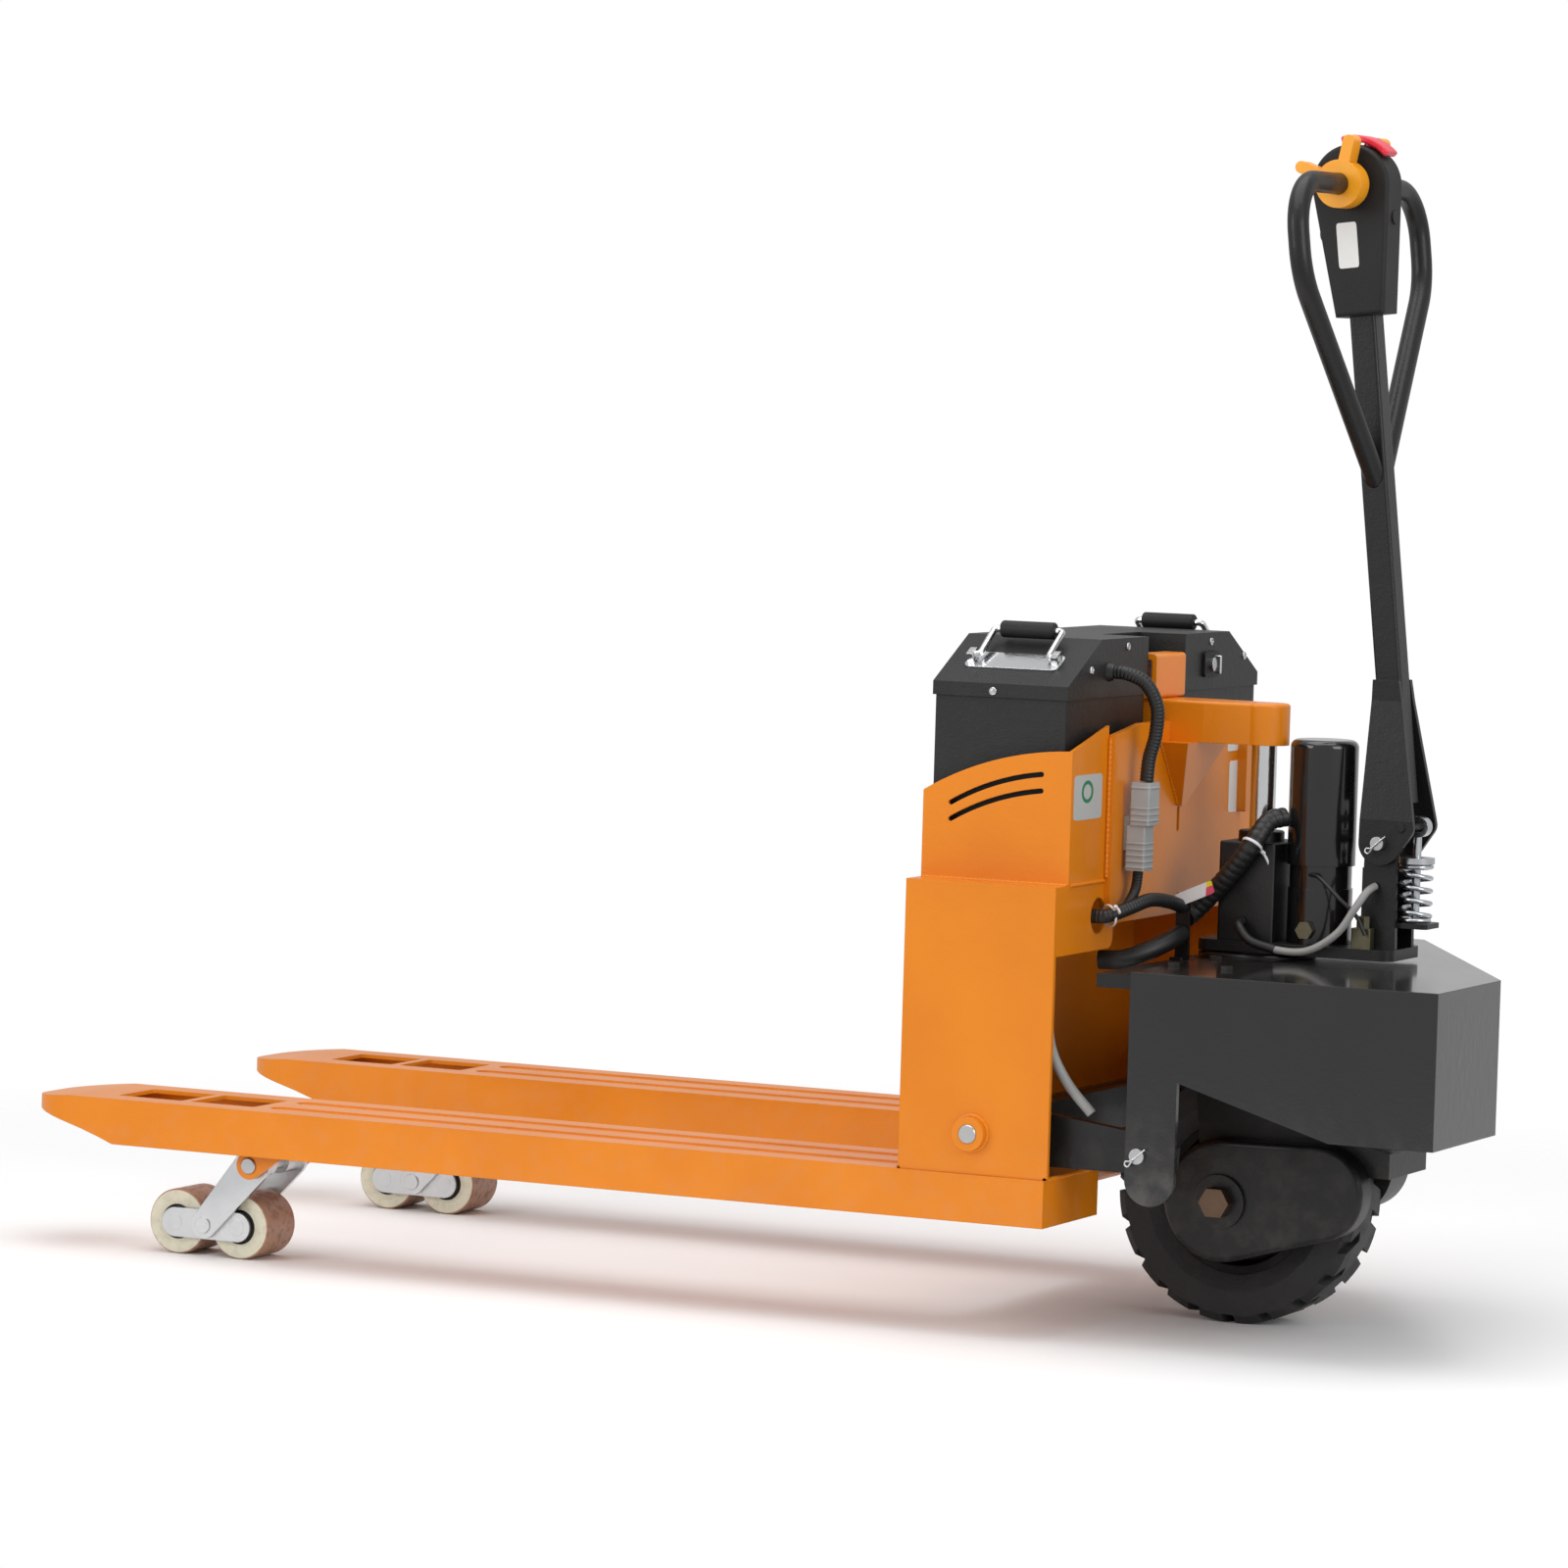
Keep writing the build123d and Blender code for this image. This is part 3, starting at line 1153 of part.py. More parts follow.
BATTERY_CONDUIT = (
    (-12.5, -173, 767), (8, -172, 766), (30, -165, 755), (42, -158, 728), (40, -155, 695), (33, -155, 668),
    (31, -156, 642),
)
BATTERY_LOOM = ((25, -158, 535), (24, -163, 515), (22, -186, 495), (14, -206, 487), (-9, -207, 486))
with BuildPart() as battery_cables:
    tube(BATTERY_CONDUIT, CONDUIT_R)
    tube(BATTERY_LOOM, 6)
write(battery_cables, "battery_cables")

with BuildPart() as battery_connector:
    with BuildSketch(Plane.XY.offset(590)):
        with Locations((HEEL + 30, -157)):
            RectangleRounded(24, 32, 2)
    extrude(amount=50)
    with BuildSketch(Plane.XY.offset(537)):
        with Locations((HEEL + 25, -157)):
            RectangleRounded(24, 28, 2)
    extrude(amount=53)
    with BuildSketch(Plane.XY.offset(560)):
        with Locations((HEEL + 14, -157)):
            Rectangle(12, 16)
    extrude(amount=40)
write(battery_connector, "battery_connector")

LOW_CABLE = (
    (-9, -223, 486), (14, -221, 487), (32, -198, 496), (44, -164, 504), (52, -126, 500), (53, -88.5, 492),
)
HIGH_CABLE = ((-16, -170, 431), (12, -164, 433), (36, -146, 443), (51, -120, 454), (53, -89.5, 460))
with BuildPart() as main_cables:
    tube(LOW_CABLE, CONDUIT_R)
    tube(HIGH_CABLE, PUMP_CABLE_R)
write(main_cables, "main_cables")

PUMP_CABLE = (
    (53, -76, 478), (57, -63.6, 484), (74, -60.5, 502), (102, -61, 534), (127, -59, 568), (139, -40, 594),
    (153.5, -23.5, 600),
)
with BuildPart() as pump_cable:
    tube(PUMP_CABLE, PUMP_CABLE_R)
write(pump_cable, "pump_cable")

SIGNAL_HOSE = (
    (112, -46.5, 476), (113, -60, 473), (130, -66, 456), (162, -66, 447), (202, -66, 448), (238, -66, 470),
    (258, -62, 500), (268, -50, 520), (272, -34.5, 526),
)
with BuildPart() as signal_hose:
    tube(SIGNAL_HOSE, 4.5)
write(signal_hose, "signal_hose")

SIDE_HOSE = ((-14, -326, 440), (-15, -320, 390), (-12, -312, 340), (6, -304, 300), (36, -300, 266))
with BuildPart() as side_hose:
    tube(SIDE_HOSE, 6)
write(side_hose, "side_hose")
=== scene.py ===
"""Pedestrian electric pallet truck with its forks raised, in metres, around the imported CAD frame.

+X runs from the fork tips to the tiller, +Z is up and -Y is the side nearer the camera.
"""
from math import cos, pi, radians, sin

import bpy
import numpy as np
from mathutils import Matrix, Vector


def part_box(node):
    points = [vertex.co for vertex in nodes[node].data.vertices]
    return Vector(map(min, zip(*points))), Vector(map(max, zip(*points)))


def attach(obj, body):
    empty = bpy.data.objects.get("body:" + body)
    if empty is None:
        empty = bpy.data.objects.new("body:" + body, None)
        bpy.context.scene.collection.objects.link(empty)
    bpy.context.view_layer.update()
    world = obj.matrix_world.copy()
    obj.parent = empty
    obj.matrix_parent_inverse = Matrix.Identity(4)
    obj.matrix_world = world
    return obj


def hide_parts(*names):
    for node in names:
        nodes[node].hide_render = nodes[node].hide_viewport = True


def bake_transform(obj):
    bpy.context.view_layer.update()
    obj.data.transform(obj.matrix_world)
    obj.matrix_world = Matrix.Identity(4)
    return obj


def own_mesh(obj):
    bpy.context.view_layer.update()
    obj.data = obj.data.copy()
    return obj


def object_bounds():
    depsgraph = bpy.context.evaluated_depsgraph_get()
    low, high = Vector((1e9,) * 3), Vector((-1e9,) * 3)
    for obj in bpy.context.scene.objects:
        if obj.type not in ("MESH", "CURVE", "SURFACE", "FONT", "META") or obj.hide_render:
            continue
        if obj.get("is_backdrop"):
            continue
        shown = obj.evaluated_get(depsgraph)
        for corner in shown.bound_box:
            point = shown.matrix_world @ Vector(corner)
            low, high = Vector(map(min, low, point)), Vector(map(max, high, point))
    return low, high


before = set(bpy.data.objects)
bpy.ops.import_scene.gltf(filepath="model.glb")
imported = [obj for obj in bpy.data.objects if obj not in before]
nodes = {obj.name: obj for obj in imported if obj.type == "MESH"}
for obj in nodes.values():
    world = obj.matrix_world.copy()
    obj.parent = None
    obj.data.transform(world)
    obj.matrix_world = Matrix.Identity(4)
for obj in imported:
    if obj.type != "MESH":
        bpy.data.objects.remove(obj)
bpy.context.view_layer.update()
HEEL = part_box("battery_shroud")[1].x  # rear face of the boxes
MM = 1000  # in a metre


def from_heel(points):
    """Points in mm from the heel, as metres in the frame."""
    return np.array(points, float) / MM + (HEEL, 0, 0)


# ---------------------------------------------------------------- viewpoint
# A long lens low on the truck's left rear corner, turned a little about its own line of sight.
VIEW_PLACE = Vector((3.3932, -7.1615, 1.1201))
VIEW_TURN, VIEW_DIP, VIEW_ROLL = radians(25.7225), radians(3.7308), radians(1.6598)

look = Vector((-sin(VIEW_TURN) * cos(VIEW_DIP), cos(VIEW_TURN) * cos(VIEW_DIP), -sin(VIEW_DIP)))
level = Vector((cos(VIEW_TURN), sin(VIEW_TURN), 0))
upright = level.cross(look)
across = level * cos(VIEW_ROLL) + upright * sin(VIEW_ROLL)
above = upright * cos(VIEW_ROLL) - level * sin(VIEW_ROLL)
lens = bpy.data.cameras.new("camera")
lens.lens = 149.87
lens.sensor_width = 36
lens.shift_x = 0.0018
lens.shift_y = -0.0004
lens.clip_end = 60
camera = bpy.data.objects.new("camera", lens)
camera.matrix_world = Matrix.Translation(VIEW_PLACE) @ Matrix((across, above, -look)).transposed().to_4x4()
bpy.context.scene.collection.objects.link(camera)
bpy.context.scene.camera = camera

# ---------------------------------------------------------------- finishes and the studio
# A pale floor that fades into a white room, lit by wide soft boxes. The floor's paint is the first
# finish, so the two classes that write shader maths are defined here.
scene = bpy.context.scene
scene.view_settings.view_transform = "Standard"


class Shade:
    """One number inside a finish. The operators add Math nodes; a sum may start with a plain number."""

    def __init__(self, finish, socket):
        self.finish = finish
        self.socket = socket

    def maths(self, operation, *terms):
        made = self.finish.node("ShaderNodeMath", {"operation": operation}, dict(enumerate(terms)))
        return Shade(self.finish, made.outputs[0])

    def __add__(self, other):
        return self.maths("ADD", self, other)

    def __radd__(self, other):
        return self.maths("ADD", other, self)

    def __sub__(self, other):
        return self.maths("SUBTRACT", self, other)

    def __rsub__(self, other):
        return self.maths("SUBTRACT", other, self)

    def __mul__(self, other):
        return self.maths("MULTIPLY", self, other)

    def __pow__(self, other):
        return self.maths("POWER", self, other)

    def sine(self):
        return self.maths("SINE", self)

    def rise(self, start, end):
        """0 below start, 1 above end, eased between; falls instead where start is above end."""
        settings = {"interpolation_type": "SMOOTHSTEP"}
        sockets = {"Value": self, "From Min": start, "From Max": end}
        made = self.finish.node("ShaderNodeMapRange", settings, sockets)
        return Shade(self.finish, made.outputs[0])


class Finish:
    """A procedural material on one Principled shader, read from Object coordinates."""

    def __init__(self, name, **constants):
        self.material = bpy.data.materials.new(name)
        self.material.use_nodes = True
        self.tree = self.material.node_tree
        self.shader = self.tree.nodes["Principled BSDF"]
        self.place = self.tree.nodes.new("ShaderNodeTexCoord").outputs["Object"]
        for name, value in constants.items():
            self.shader.inputs[name.replace("_", " ").title().replace("Ior", "IOR")].default_value = value

    def node(self, kind, settings, sockets):
        """Any node: its settings first, then a value or a link for each named or numbered socket."""
        made = self.tree.nodes.new(kind)
        for name, value in settings.items():
            setattr(made, name, value)
        for name, value in sockets.items():
            value = value.socket if isinstance(value, Shade) else value
            if isinstance(value, bpy.types.NodeSocket):
                self.tree.links.new(value, made.inputs[name])
            else:
                made.inputs[name].default_value = value
        return made

    def axis(self, letter, origin=(0, 0, 0)):
        """Distance from origin along one axis."""
        moved = self.node("ShaderNodeVectorMath", {"operation": "SUBTRACT"}, {0: self.place, 1: origin})
        parts = self.node("ShaderNodeSeparateXYZ", {}, {0: moved.outputs[0]})
        return Shade(self, parts.outputs[letter])

    def noise(self, scale, detail=2.0, stretch=(1, 1, 1)):
        """Soft random patches, scale of them to the metre."""
        spread = self.node("ShaderNodeVectorMath", {"operation": "MULTIPLY"}, {0: self.place, 1: stretch})
        sockets = {"Vector": spread.outputs[0], "Scale": scale, "Detail": detail}
        return Shade(self, self.node("ShaderNodeTexNoise", {}, sockets).outputs[0])

    def mix(self, mask, first, second):
        """First colour where mask is 0, second where it is 1."""
        first, second = [c if isinstance(c, bpy.types.NodeSocket) else (*c, 1) for c in (first, second)]
        made = self.node("ShaderNodeMix", {"data_type": "RGBA"}, {0: mask, 6: first, 7: second})
        return made.outputs[2]

    def wire(self, name, value):
        value = value.socket if isinstance(value, Shade) else value
        self.tree.links.new(value, self.shader.inputs[name])

    def relief(self, height, depth, edge=0.0):
        """Height as bump, depth metres deep, over corners rounded to the radius edge."""
        sockets = {"Height": height, "Distance": depth, "Strength": 1.0}
        if edge:
            sockets["Normal"] = self.node("ShaderNodeBevel", {"samples": 4}, {"Radius": edge}).outputs[0]
        self.wire("Normal", self.node("ShaderNodeBump", {}, sockets).outputs[0])


def wear(names, finish):
    """Give carried-over CAD nodes this finish."""
    for name in names.split():
        for slot in nodes[name].material_slots:
            slot.material = finish.material


FLOOR_NEAR, FLOOR_FAR = 1.0, 2.3  # the floor fades out between these reaches
FLOOR_RIM = FLOOR_FAR * 1.1
FLOOR_SIDES = 64
floor_finish = Finish("studio_floor", roughness=0.75)
floor_mottle = floor_finish.noise(3, 3)
floor_finish.wire("Base Color", floor_finish.mix(floor_mottle, (0.93, 0.935, 0.94), (0.96, 0.965, 0.97)))
floor_reach = (floor_finish.axis("X") ** 2 + floor_finish.axis("Y") ** 2) ** 0.5
floor_finish.wire("Alpha", floor_reach.rise(FLOOR_FAR, FLOOR_NEAR))
floor_mesh = bpy.data.meshes.new("floor")
ring = np.linspace(0, 2 * pi, FLOOR_SIDES + 1)[:-1]
floor_rim = np.stack([np.cos(ring) * FLOOR_RIM, np.sin(ring) * FLOOR_RIM, 0 * ring], 1)
floor_mesh.from_pydata(floor_rim.tolist(), [], [list(range(FLOOR_SIDES))])
floor_mesh.materials.append(floor_finish.material)
floor = bpy.data.objects.new("floor", floor_mesh)
scene.collection.objects.link(floor)
floor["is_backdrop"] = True

ROOM_LIGHT, ROOM_SEEN = 0.62, 1.0  # strength of the white room as a lamp, and as the camera sees it
world = bpy.data.worlds.new("white_room")
scene.world = world
world.use_nodes = True
room = world.node_tree
seen = room.nodes.new("ShaderNodeLightPath").outputs["Is Camera Ray"]
strength = room.nodes.new("ShaderNodeMapRange")
strength.inputs["To Min"].default_value = ROOM_LIGHT
strength.inputs["To Max"].default_value = ROOM_SEEN
room.links.new(seen, strength.inputs["Value"])
room.links.new(strength.outputs[0], room.nodes["Background"].inputs["Strength"])
room.nodes["Background"].inputs["Color"].default_value = (1, 1, 1, 1)

AIM_DROP = 0.4  # each soft box faces a point this far below its own, so all hang level
for name, place, size, power in (
    ("overhead", (0.3, -0.4, 3.6), 3.2, 70),
    ("left_box", (-2.2, -3.8, 2.2), 2.4, 60),
    ("rear_box", (3.8, -1.6, 1.9), 1.8, 38),
):
    light = bpy.data.lights.new(name, "AREA")
    light.size = size
    light.energy = power
    box = bpy.data.objects.new(name, light)
    box.matrix_world = Matrix.Translation(place) @ Vector(
        (place[0], place[1], place[2] - AIM_DROP)).to_track_quat("Z", "Y").to_matrix().to_4x4()
    scene.collection.objects.link(box)

# ---------------------------------------------------------------- painted steelwork
# Forks, boxes and lift head are welded plate in orange gloss paint; cover, bearing frame, rocker,
# yoke, gear case, motors and tiller are black. The paint has orange peel and slight dust low down.
def gloss_paint(name, colour, deep, rough, coat, peel, edge, dust):
    """Two close tones in slow patches, a fine peel bump and dust that thickens towards the floor."""
    paint = Finish(name, coat_roughness=0.08, specular_ior_level=0.32)
    patch = paint.noise(6, 3)
    low = paint.axis("Z").rise(0.32, 0.02) * paint.noise(38, 4).rise(0.42, 0.72) * dust
    tone = paint.mix(patch.rise(0.3, 0.7), colour, deep)
    paint.wire("Base Color", paint.mix(low, tone, (0.42, 0.38, 0.33)))
    paint.wire("Roughness", rough + patch * 0.08 + low * 0.4)
    paint.wire("Coat Weight", coat - low)
    paint.relief(paint.noise(420, 2) + paint.noise(90, 2) * 1.6, peel, edge)
    return paint


orange = gloss_paint(
    "orange_gloss_paint", (0.76, 0.225, 0.003), (0.7, 0.2, 0.002), 0.33, 0.2, 0.00016, 0.0016, 0.1)
wear("fork_left fork_right cross_member head_box battery_shroud lift_head", orange)
black = gloss_paint(
    "black_satin_paint", (0.010, 0.010, 0.0098), (0.007, 0.007, 0.007), 0.36, 0.1, 0.0002, 0.0012, 0.1)
wear("bearing_frame rocker steer_yoke gear_case drive_motor tiller_bracket tiller_tube handle_loop", black)
cover_paint = gloss_paint(
    "cover_gloss_paint", (0.011, 0.0105, 0.01), (0.008, 0.008, 0.008), 0.2, 0.7, 0.00022, 0.002, 0.25)
wear("bumper_cover", cover_paint)
can_paint = gloss_paint(
    "pump_gloss_paint", (0.01, 0.01, 0.01), (0.007, 0.007, 0.007), 0.16, 0.8, 0.0001, 0.001, 0.05)
wear("pump_motor", can_paint)
lid_paint = gloss_paint(
    "lid_powder_coat", (0.016, 0.016, 0.0155), (0.012, 0.012, 0.012), 0.46, 0.05, 0.00035, 0.0012, 0.05)
wear("battery_case battery_lid", lid_paint)


# ---------------------------------------------------------------- bare and plated metal
# Bright zinc on the spring, links and load legs, turned steel pins, a chromed lift piston and lid
# handles, blackened bolts, a dark iron hub and the brass hose fitting.
def bare_metal(name, colour, deep, rough, grain, stretch, edge, **constants):
    """Metal with fine directional grain and slow stains that dull it."""
    metal = Finish(name, metallic=1.0, **constants)
    stain = metal.noise(14, 4)
    lines = metal.noise(grain, 3, stretch)
    metal.wire("Base Color", metal.mix(stain.rise(0.3, 0.75), colour, deep))
    metal.wire("Roughness", rough + stain * 0.12 + lines * 0.1)
    metal.relief(lines + metal.noise(260, 2), 0.00012, edge)
    return metal


zinc = bare_metal("bright_zinc", (0.62, 0.63, 0.64), (0.5, 0.51, 0.52), 0.2, 300, (1, 1, 1), 0.001)
wear("load_leg_left load_leg_right bogie_left bogie_right", zinc)
coil_zinc = bare_metal("spring_zinc", (0.66, 0.68, 0.7), (0.52, 0.54, 0.56), 0.16, 120, (1, 1, 1), 0.0004)
wear("spring_rod", coil_zinc)
steel = bare_metal("turned_steel", (0.55, 0.55, 0.55), (0.4, 0.4, 0.4), 0.22, 500, (1, 0.2, 1), 0.0008)
wear("pivot_pins push_rods frame_leg_pins tiller_pin", steel)
chrome = bare_metal("chrome_plate", (0.8, 0.81, 0.82), (0.72, 0.73, 0.74), 0.04, 200, (1, 1, 0.1), 0.0008)
wear("piston_rod handle_bases handle_bail_left handle_bail_right key_barrel", chrome)
dark_metal = bare_metal(
    "blackened_steel", (0.06, 0.06, 0.062), (0.035, 0.035, 0.035), 0.35, 200, (1, 1, 1), 0.0006)
wear("cover_bolts hose_clip pump_block", dark_metal)
axle_metal = bare_metal(
    "rusty_axle_steel", (0.19, 0.13, 0.09), (0.1, 0.07, 0.05), 0.4, 200, (1, 1, 1), 0.001)
wear("wheel_axle", axle_metal)
iron = bare_metal("dark_cast_iron", (0.035, 0.033, 0.032), (0.02, 0.02, 0.02), 0.5, 160, (1, 1, 1), 0.002)
wear("wheel_rim", iron)
brass = bare_metal("olive_plated_block", (0.22, 0.2, 0.13), (0.13, 0.12, 0.08), 0.36, 200, (1, 1, 1), 0.0008)
wear("pump_fittings", brass)


# ---------------------------------------------------------------- plastics and rubber
# The tiller head is grained black plastic, its wings amber and its belly button red. The tyre is
# solid black rubber, the hose is pale grey, and the battery pack is a grey moulding.
def moulded(name, colour, deep, rough, grain, depth, edge, **constants):
    """Plastic or rubber with a moulded grain and slow changes of tone."""
    plastic = Finish(name, **constants)
    patch = plastic.noise(11, 3)
    texture = plastic.noise(grain, 2)
    plastic.wire("Base Color", plastic.mix(patch.rise(0.3, 0.7), colour, deep))
    plastic.wire("Roughness", rough + patch * 0.1 + texture * 0.06)
    plastic.relief(texture, depth, edge)
    return plastic


head_plastic = moulded(
    "head_plastic", (0.014, 0.014, 0.014), (0.01, 0.01, 0.01), 0.44, 900, 0.0002, 0.002,
    specular_ior_level=0.3)
wear("head_shell handle_grip_left handle_grip_right key_plate", head_plastic)
wear("horn_button raise_button lower_button", head_plastic)
amber = moulded(
    "amber_plastic", (0.9, 0.37, 0.012), (0.82, 0.3, 0.008), 0.24, 500, 0.00008, 0.0016,
    subsurface_weight=0.06)
wear("throttle", amber)
red = moulded(
    "red_plastic", (0.78, 0.03, 0.06), (0.66, 0.02, 0.045), 0.2, 500, 0.00006, 0.002,
    subsurface_weight=0.05)
wear("belly_button", red)
pack_plastic = moulded("pack_plastic", (0.05, 0.05, 0.052), (0.04, 0.04, 0.04), 0.5, 700, 0.0002, 0.002)
wear("battery_pack", pack_plastic)
grey_plastic = moulded("connector_plastic", (0.42, 0.43, 0.43), (0.35, 0.36, 0.36), 0.38, 700, 0.0002, 0.0012)
wear("battery_connector", grey_plastic)
rubber = moulded("black_rubber", (0.013, 0.013, 0.013), (0.009, 0.009, 0.009), 0.36, 300, 0.0001, 0)
wear("battery_cables main_cables pump_cable", rubber)
pale_hose = moulded("pale_hose", (0.34, 0.34, 0.33), (0.26, 0.26, 0.25), 0.34, 700, 0.0001, 0)
wear("side_hose signal_hose", pale_hose)

tyre_finish = Finish("tyre_rubber")
tyre_dust = tyre_finish.noise(26, 5).rise(0.45, 0.75)
tyre_grain = tyre_finish.noise(500, 3)
tyre_finish.wire("Base Color", tyre_finish.mix(tyre_dust * 0.35, (0.011, 0.011, 0.011), (0.075, 0.068, 0.06)))
tyre_finish.wire("Roughness", 0.52 + tyre_dust * 0.25)
tyre_finish.relief(tyre_grain + tyre_finish.noise(60, 3), 0.0006, 0.002)
wear("drive_tyre", tyre_finish)


# ---------------------------------------------------------------- load rollers
# Each roller is a cream nylon-like core with a moulded brown-pink tread and a black bearing seal.
RIDGE_RATE = 2600  # radians to the metre, so a ridge every 2.4 mm


def roller_finish(name, centre):
    """Rings by distance from the axle: black seal, cream side ridged by turning, darker tread at the rim."""
    roller = Finish(name, subsurface_weight=0.05)
    reach = (roller.axis("X", centre) ** 2 + roller.axis("Z", centre) ** 2) ** 0.5
    tread = reach.rise(0.0378, 0.0386)
    scuff = roller.noise(120, 5).rise(0.45, 0.7)
    side = roller.mix(scuff * 0.3, (0.66, 0.63, 0.49), (0.42, 0.37, 0.28))
    band = roller.mix(scuff, (0.4, 0.23, 0.15), (0.27, 0.15, 0.1))
    body = roller.mix(tread, side, band)
    roller.wire("Base Color", roller.mix(reach.rise(0.0218, 0.021), body, (0.012, 0.012, 0.012)))
    roller.wire("Roughness", 0.34 + scuff * 0.2)
    ridges = (reach * RIDGE_RATE).sine() * reach.rise(0.036, 0.022)
    roller.relief(roller.noise(700, 2) * 0.3 + ridges, 0.00025, 0.001)
    return roller


for side in ("left", "right"):
    for place in ("front", "rear"):
        node = f"roller_{side}_{place}"
        low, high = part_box(node)
        wear(node, roller_finish(node, tuple((low + high) / 2)))

# ---------------------------------------------------------------- conduits and hoses
# Split corrugated conduits carry the battery and motor leads; smooth hoses feed the valves. All are rings
# carried along a smooth path, so the path and the skin come first.


def path_through(points, step):
    """Catmull-Rom curve in metres through points given in mm from the heel: each span is the cubic
    whose end slopes run parallel to its neighbours. Returned at even steps, with the distance run."""
    p = from_heel(points)
    p = np.vstack([2 * p[0] - p[1], p, 2 * p[-1] - p[-2]])
    t = np.linspace(0, 1, 24, endpoint=False)[:, None]
    a, b, c, d = (p[i:len(p) - 3 + i, None] for i in range(4))
    curve = b + (c - a) * t / 2 + (a - 2.5 * b + 2 * c - d / 2) * t**2 + (1.5 * (b - c) + (d - a) / 2) * t**3
    curve = np.vstack([curve.reshape(-1, 3), p[-2]])
    run = np.append(0, np.cumsum(np.linalg.norm(np.diff(curve, axis=0), axis=1)))
    even = np.linspace(0, run[-1], int(run[-1] / step) + 2)
    return np.stack([np.interp(even, run, curve[:, k]) for k in range(3)], 1), even


def rings_along(points, radius, step=0.004, around=20):
    """Rings about the path; radius(s, turn) is the skin's distance from it at run s and angle turn."""
    path, run = path_through(points, step)
    ahead = np.gradient(path, axis=0)
    ahead /= np.linalg.norm(ahead, axis=1)[:, None]
    flat = np.linalg.svd(path - path.mean(0))[2][-1]
    side = np.cross(flat, ahead)
    side /= np.linalg.norm(side, axis=1)[:, None]
    up = np.cross(ahead, side)
    turn = np.linspace(0, 2 * pi, around, endpoint=False)
    spread = radius(run[:, None], turn[None, :]) * np.ones((len(run), around))
    ray = np.cos(turn)[None, :, None] * side[:, None] + np.sin(turn)[None, :, None] * up[:, None]
    return path[:, None] + spread[..., None] * ray


def skin(name, grids, finish, body, loop=False):
    """One piece from grids of rings (ring, turn, xyz): quads between rings, then a cap on each end, or
    the last ring joined to the first in a loop."""
    points, faces, base = [], [], 0
    for grid in grids:
        rings, around = grid.shape[:2]
        index = np.arange(rings * around).reshape(rings, around) + base
        after = np.roll(index, -1, 0) if loop else index[1:]
        before = index if loop else index[:-1]
        quads = np.stack([before, np.roll(before, -1, 1), np.roll(after, -1, 1), after], -1).reshape(-1, 4)
        faces += quads.tolist() + ([] if loop else [index[0, ::-1].tolist(), index[-1].tolist()])
        points.append(grid.reshape(-1, 3))
        base += rings * around
    mesh = bpy.data.meshes.new(name)
    mesh.from_pydata(np.vstack(points).tolist(), [], faces)
    mesh.shade_smooth()
    mesh.set_sharp_from_angle(angle=radians(50))
    mesh.materials.append(finish.material)
    piece = bpy.data.objects.new(name, mesh)
    scene.collection.objects.link(piece)
    if body:
        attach(piece, body)
    return piece


def corrugated(radius, pitch=0.0042):
    """Rounded ridges with narrow valleys every pitch."""
    return lambda run, turn: radius * (0.9 + 0.1 * np.abs(np.cos(pi * run / pitch)) ** 0.5)


def spiral(radius, pitch=0.009):
    """Wrapped tape: a ridge that climbs one pitch a turn."""
    return lambda run, turn: radius * (0.93 + 0.09 * np.abs(np.sin(pi * run / pitch - turn / 2)) ** 0.6)


def smooth(radius):
    return lambda run, turn: radius + 0 * run


FINE = 0.0006  # ring spacing that resolves the corrugations
BATTERY_CONDUIT = (
    (-12.5, -173, 767), (8, -172, 766), (30, -165, 755), (42, -158, 728), (40, -155, 695), (33, -155, 668),
    (31, -156, 641))
conduit_rings = rings_along(BATTERY_CONDUIT, corrugated(0.0083), FINE)
battery_conduit = skin("battery_conduit", [conduit_rings], rubber, "chassis")
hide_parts("battery_cables")
BATTERY_LOOM = ((25, -158, 537), (24, -163, 515), (22, -186, 495), (14, -206, 487), (-9, -207, 486))
loom_rings = rings_along(BATTERY_LOOM, corrugated(0.0062, 0.0036), FINE)
skin("battery_loom", [loom_rings], rubber, "chassis")
GROMMET = ((-15.5, -173, 767), (-12, -173, 767), (-8, -172.6, 766.8), (-6, -172.5, 766.7))
grommet_rings = rings_along(GROMMET, lambda run, turn: 0.0125 - 0.35 * run)
skin("conduit_grommet", [grommet_rings], rubber, "chassis")

LOW_CABLE = (
    (-9, -223, 486), (14, -221, 487), (32, -198, 496), (44, -164, 504), (52, -126, 500), (53, -88.5, 492))
low_rings = rings_along(LOW_CABLE, corrugated(0.0083), FINE)
low_conduit = skin("low_conduit", [low_rings], rubber, None)
HIGH_CABLE = ((-16, -170, 431), (12, -164, 433), (36, -146, 443), (51, -120, 454), (53, -89.5, 460))
high_conduit = skin("high_conduit", [rings_along(HIGH_CABLE, smooth(0.0112))], rubber, None)
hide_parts("main_cables")
for cable, start in ((low_conduit, (HEEL, -0.222, 0.486)), (high_conduit, (HEEL, -0.166, 0.432))):
    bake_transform(cable)

PUMP_CABLE = (
    (53, -76, 478), (57, -63.6, 484), (74, -60.5, 502), (102, -61, 534), (127, -59, 568), (139, -40, 594),
    (153.5, -23.5, 600))
pump_rings = rings_along(PUMP_CABLE, spiral(0.0115), 0.0015, 24)
pump_hose = skin("pump_hose", [pump_rings], rubber, None)
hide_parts("pump_cable")
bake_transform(pump_hose)

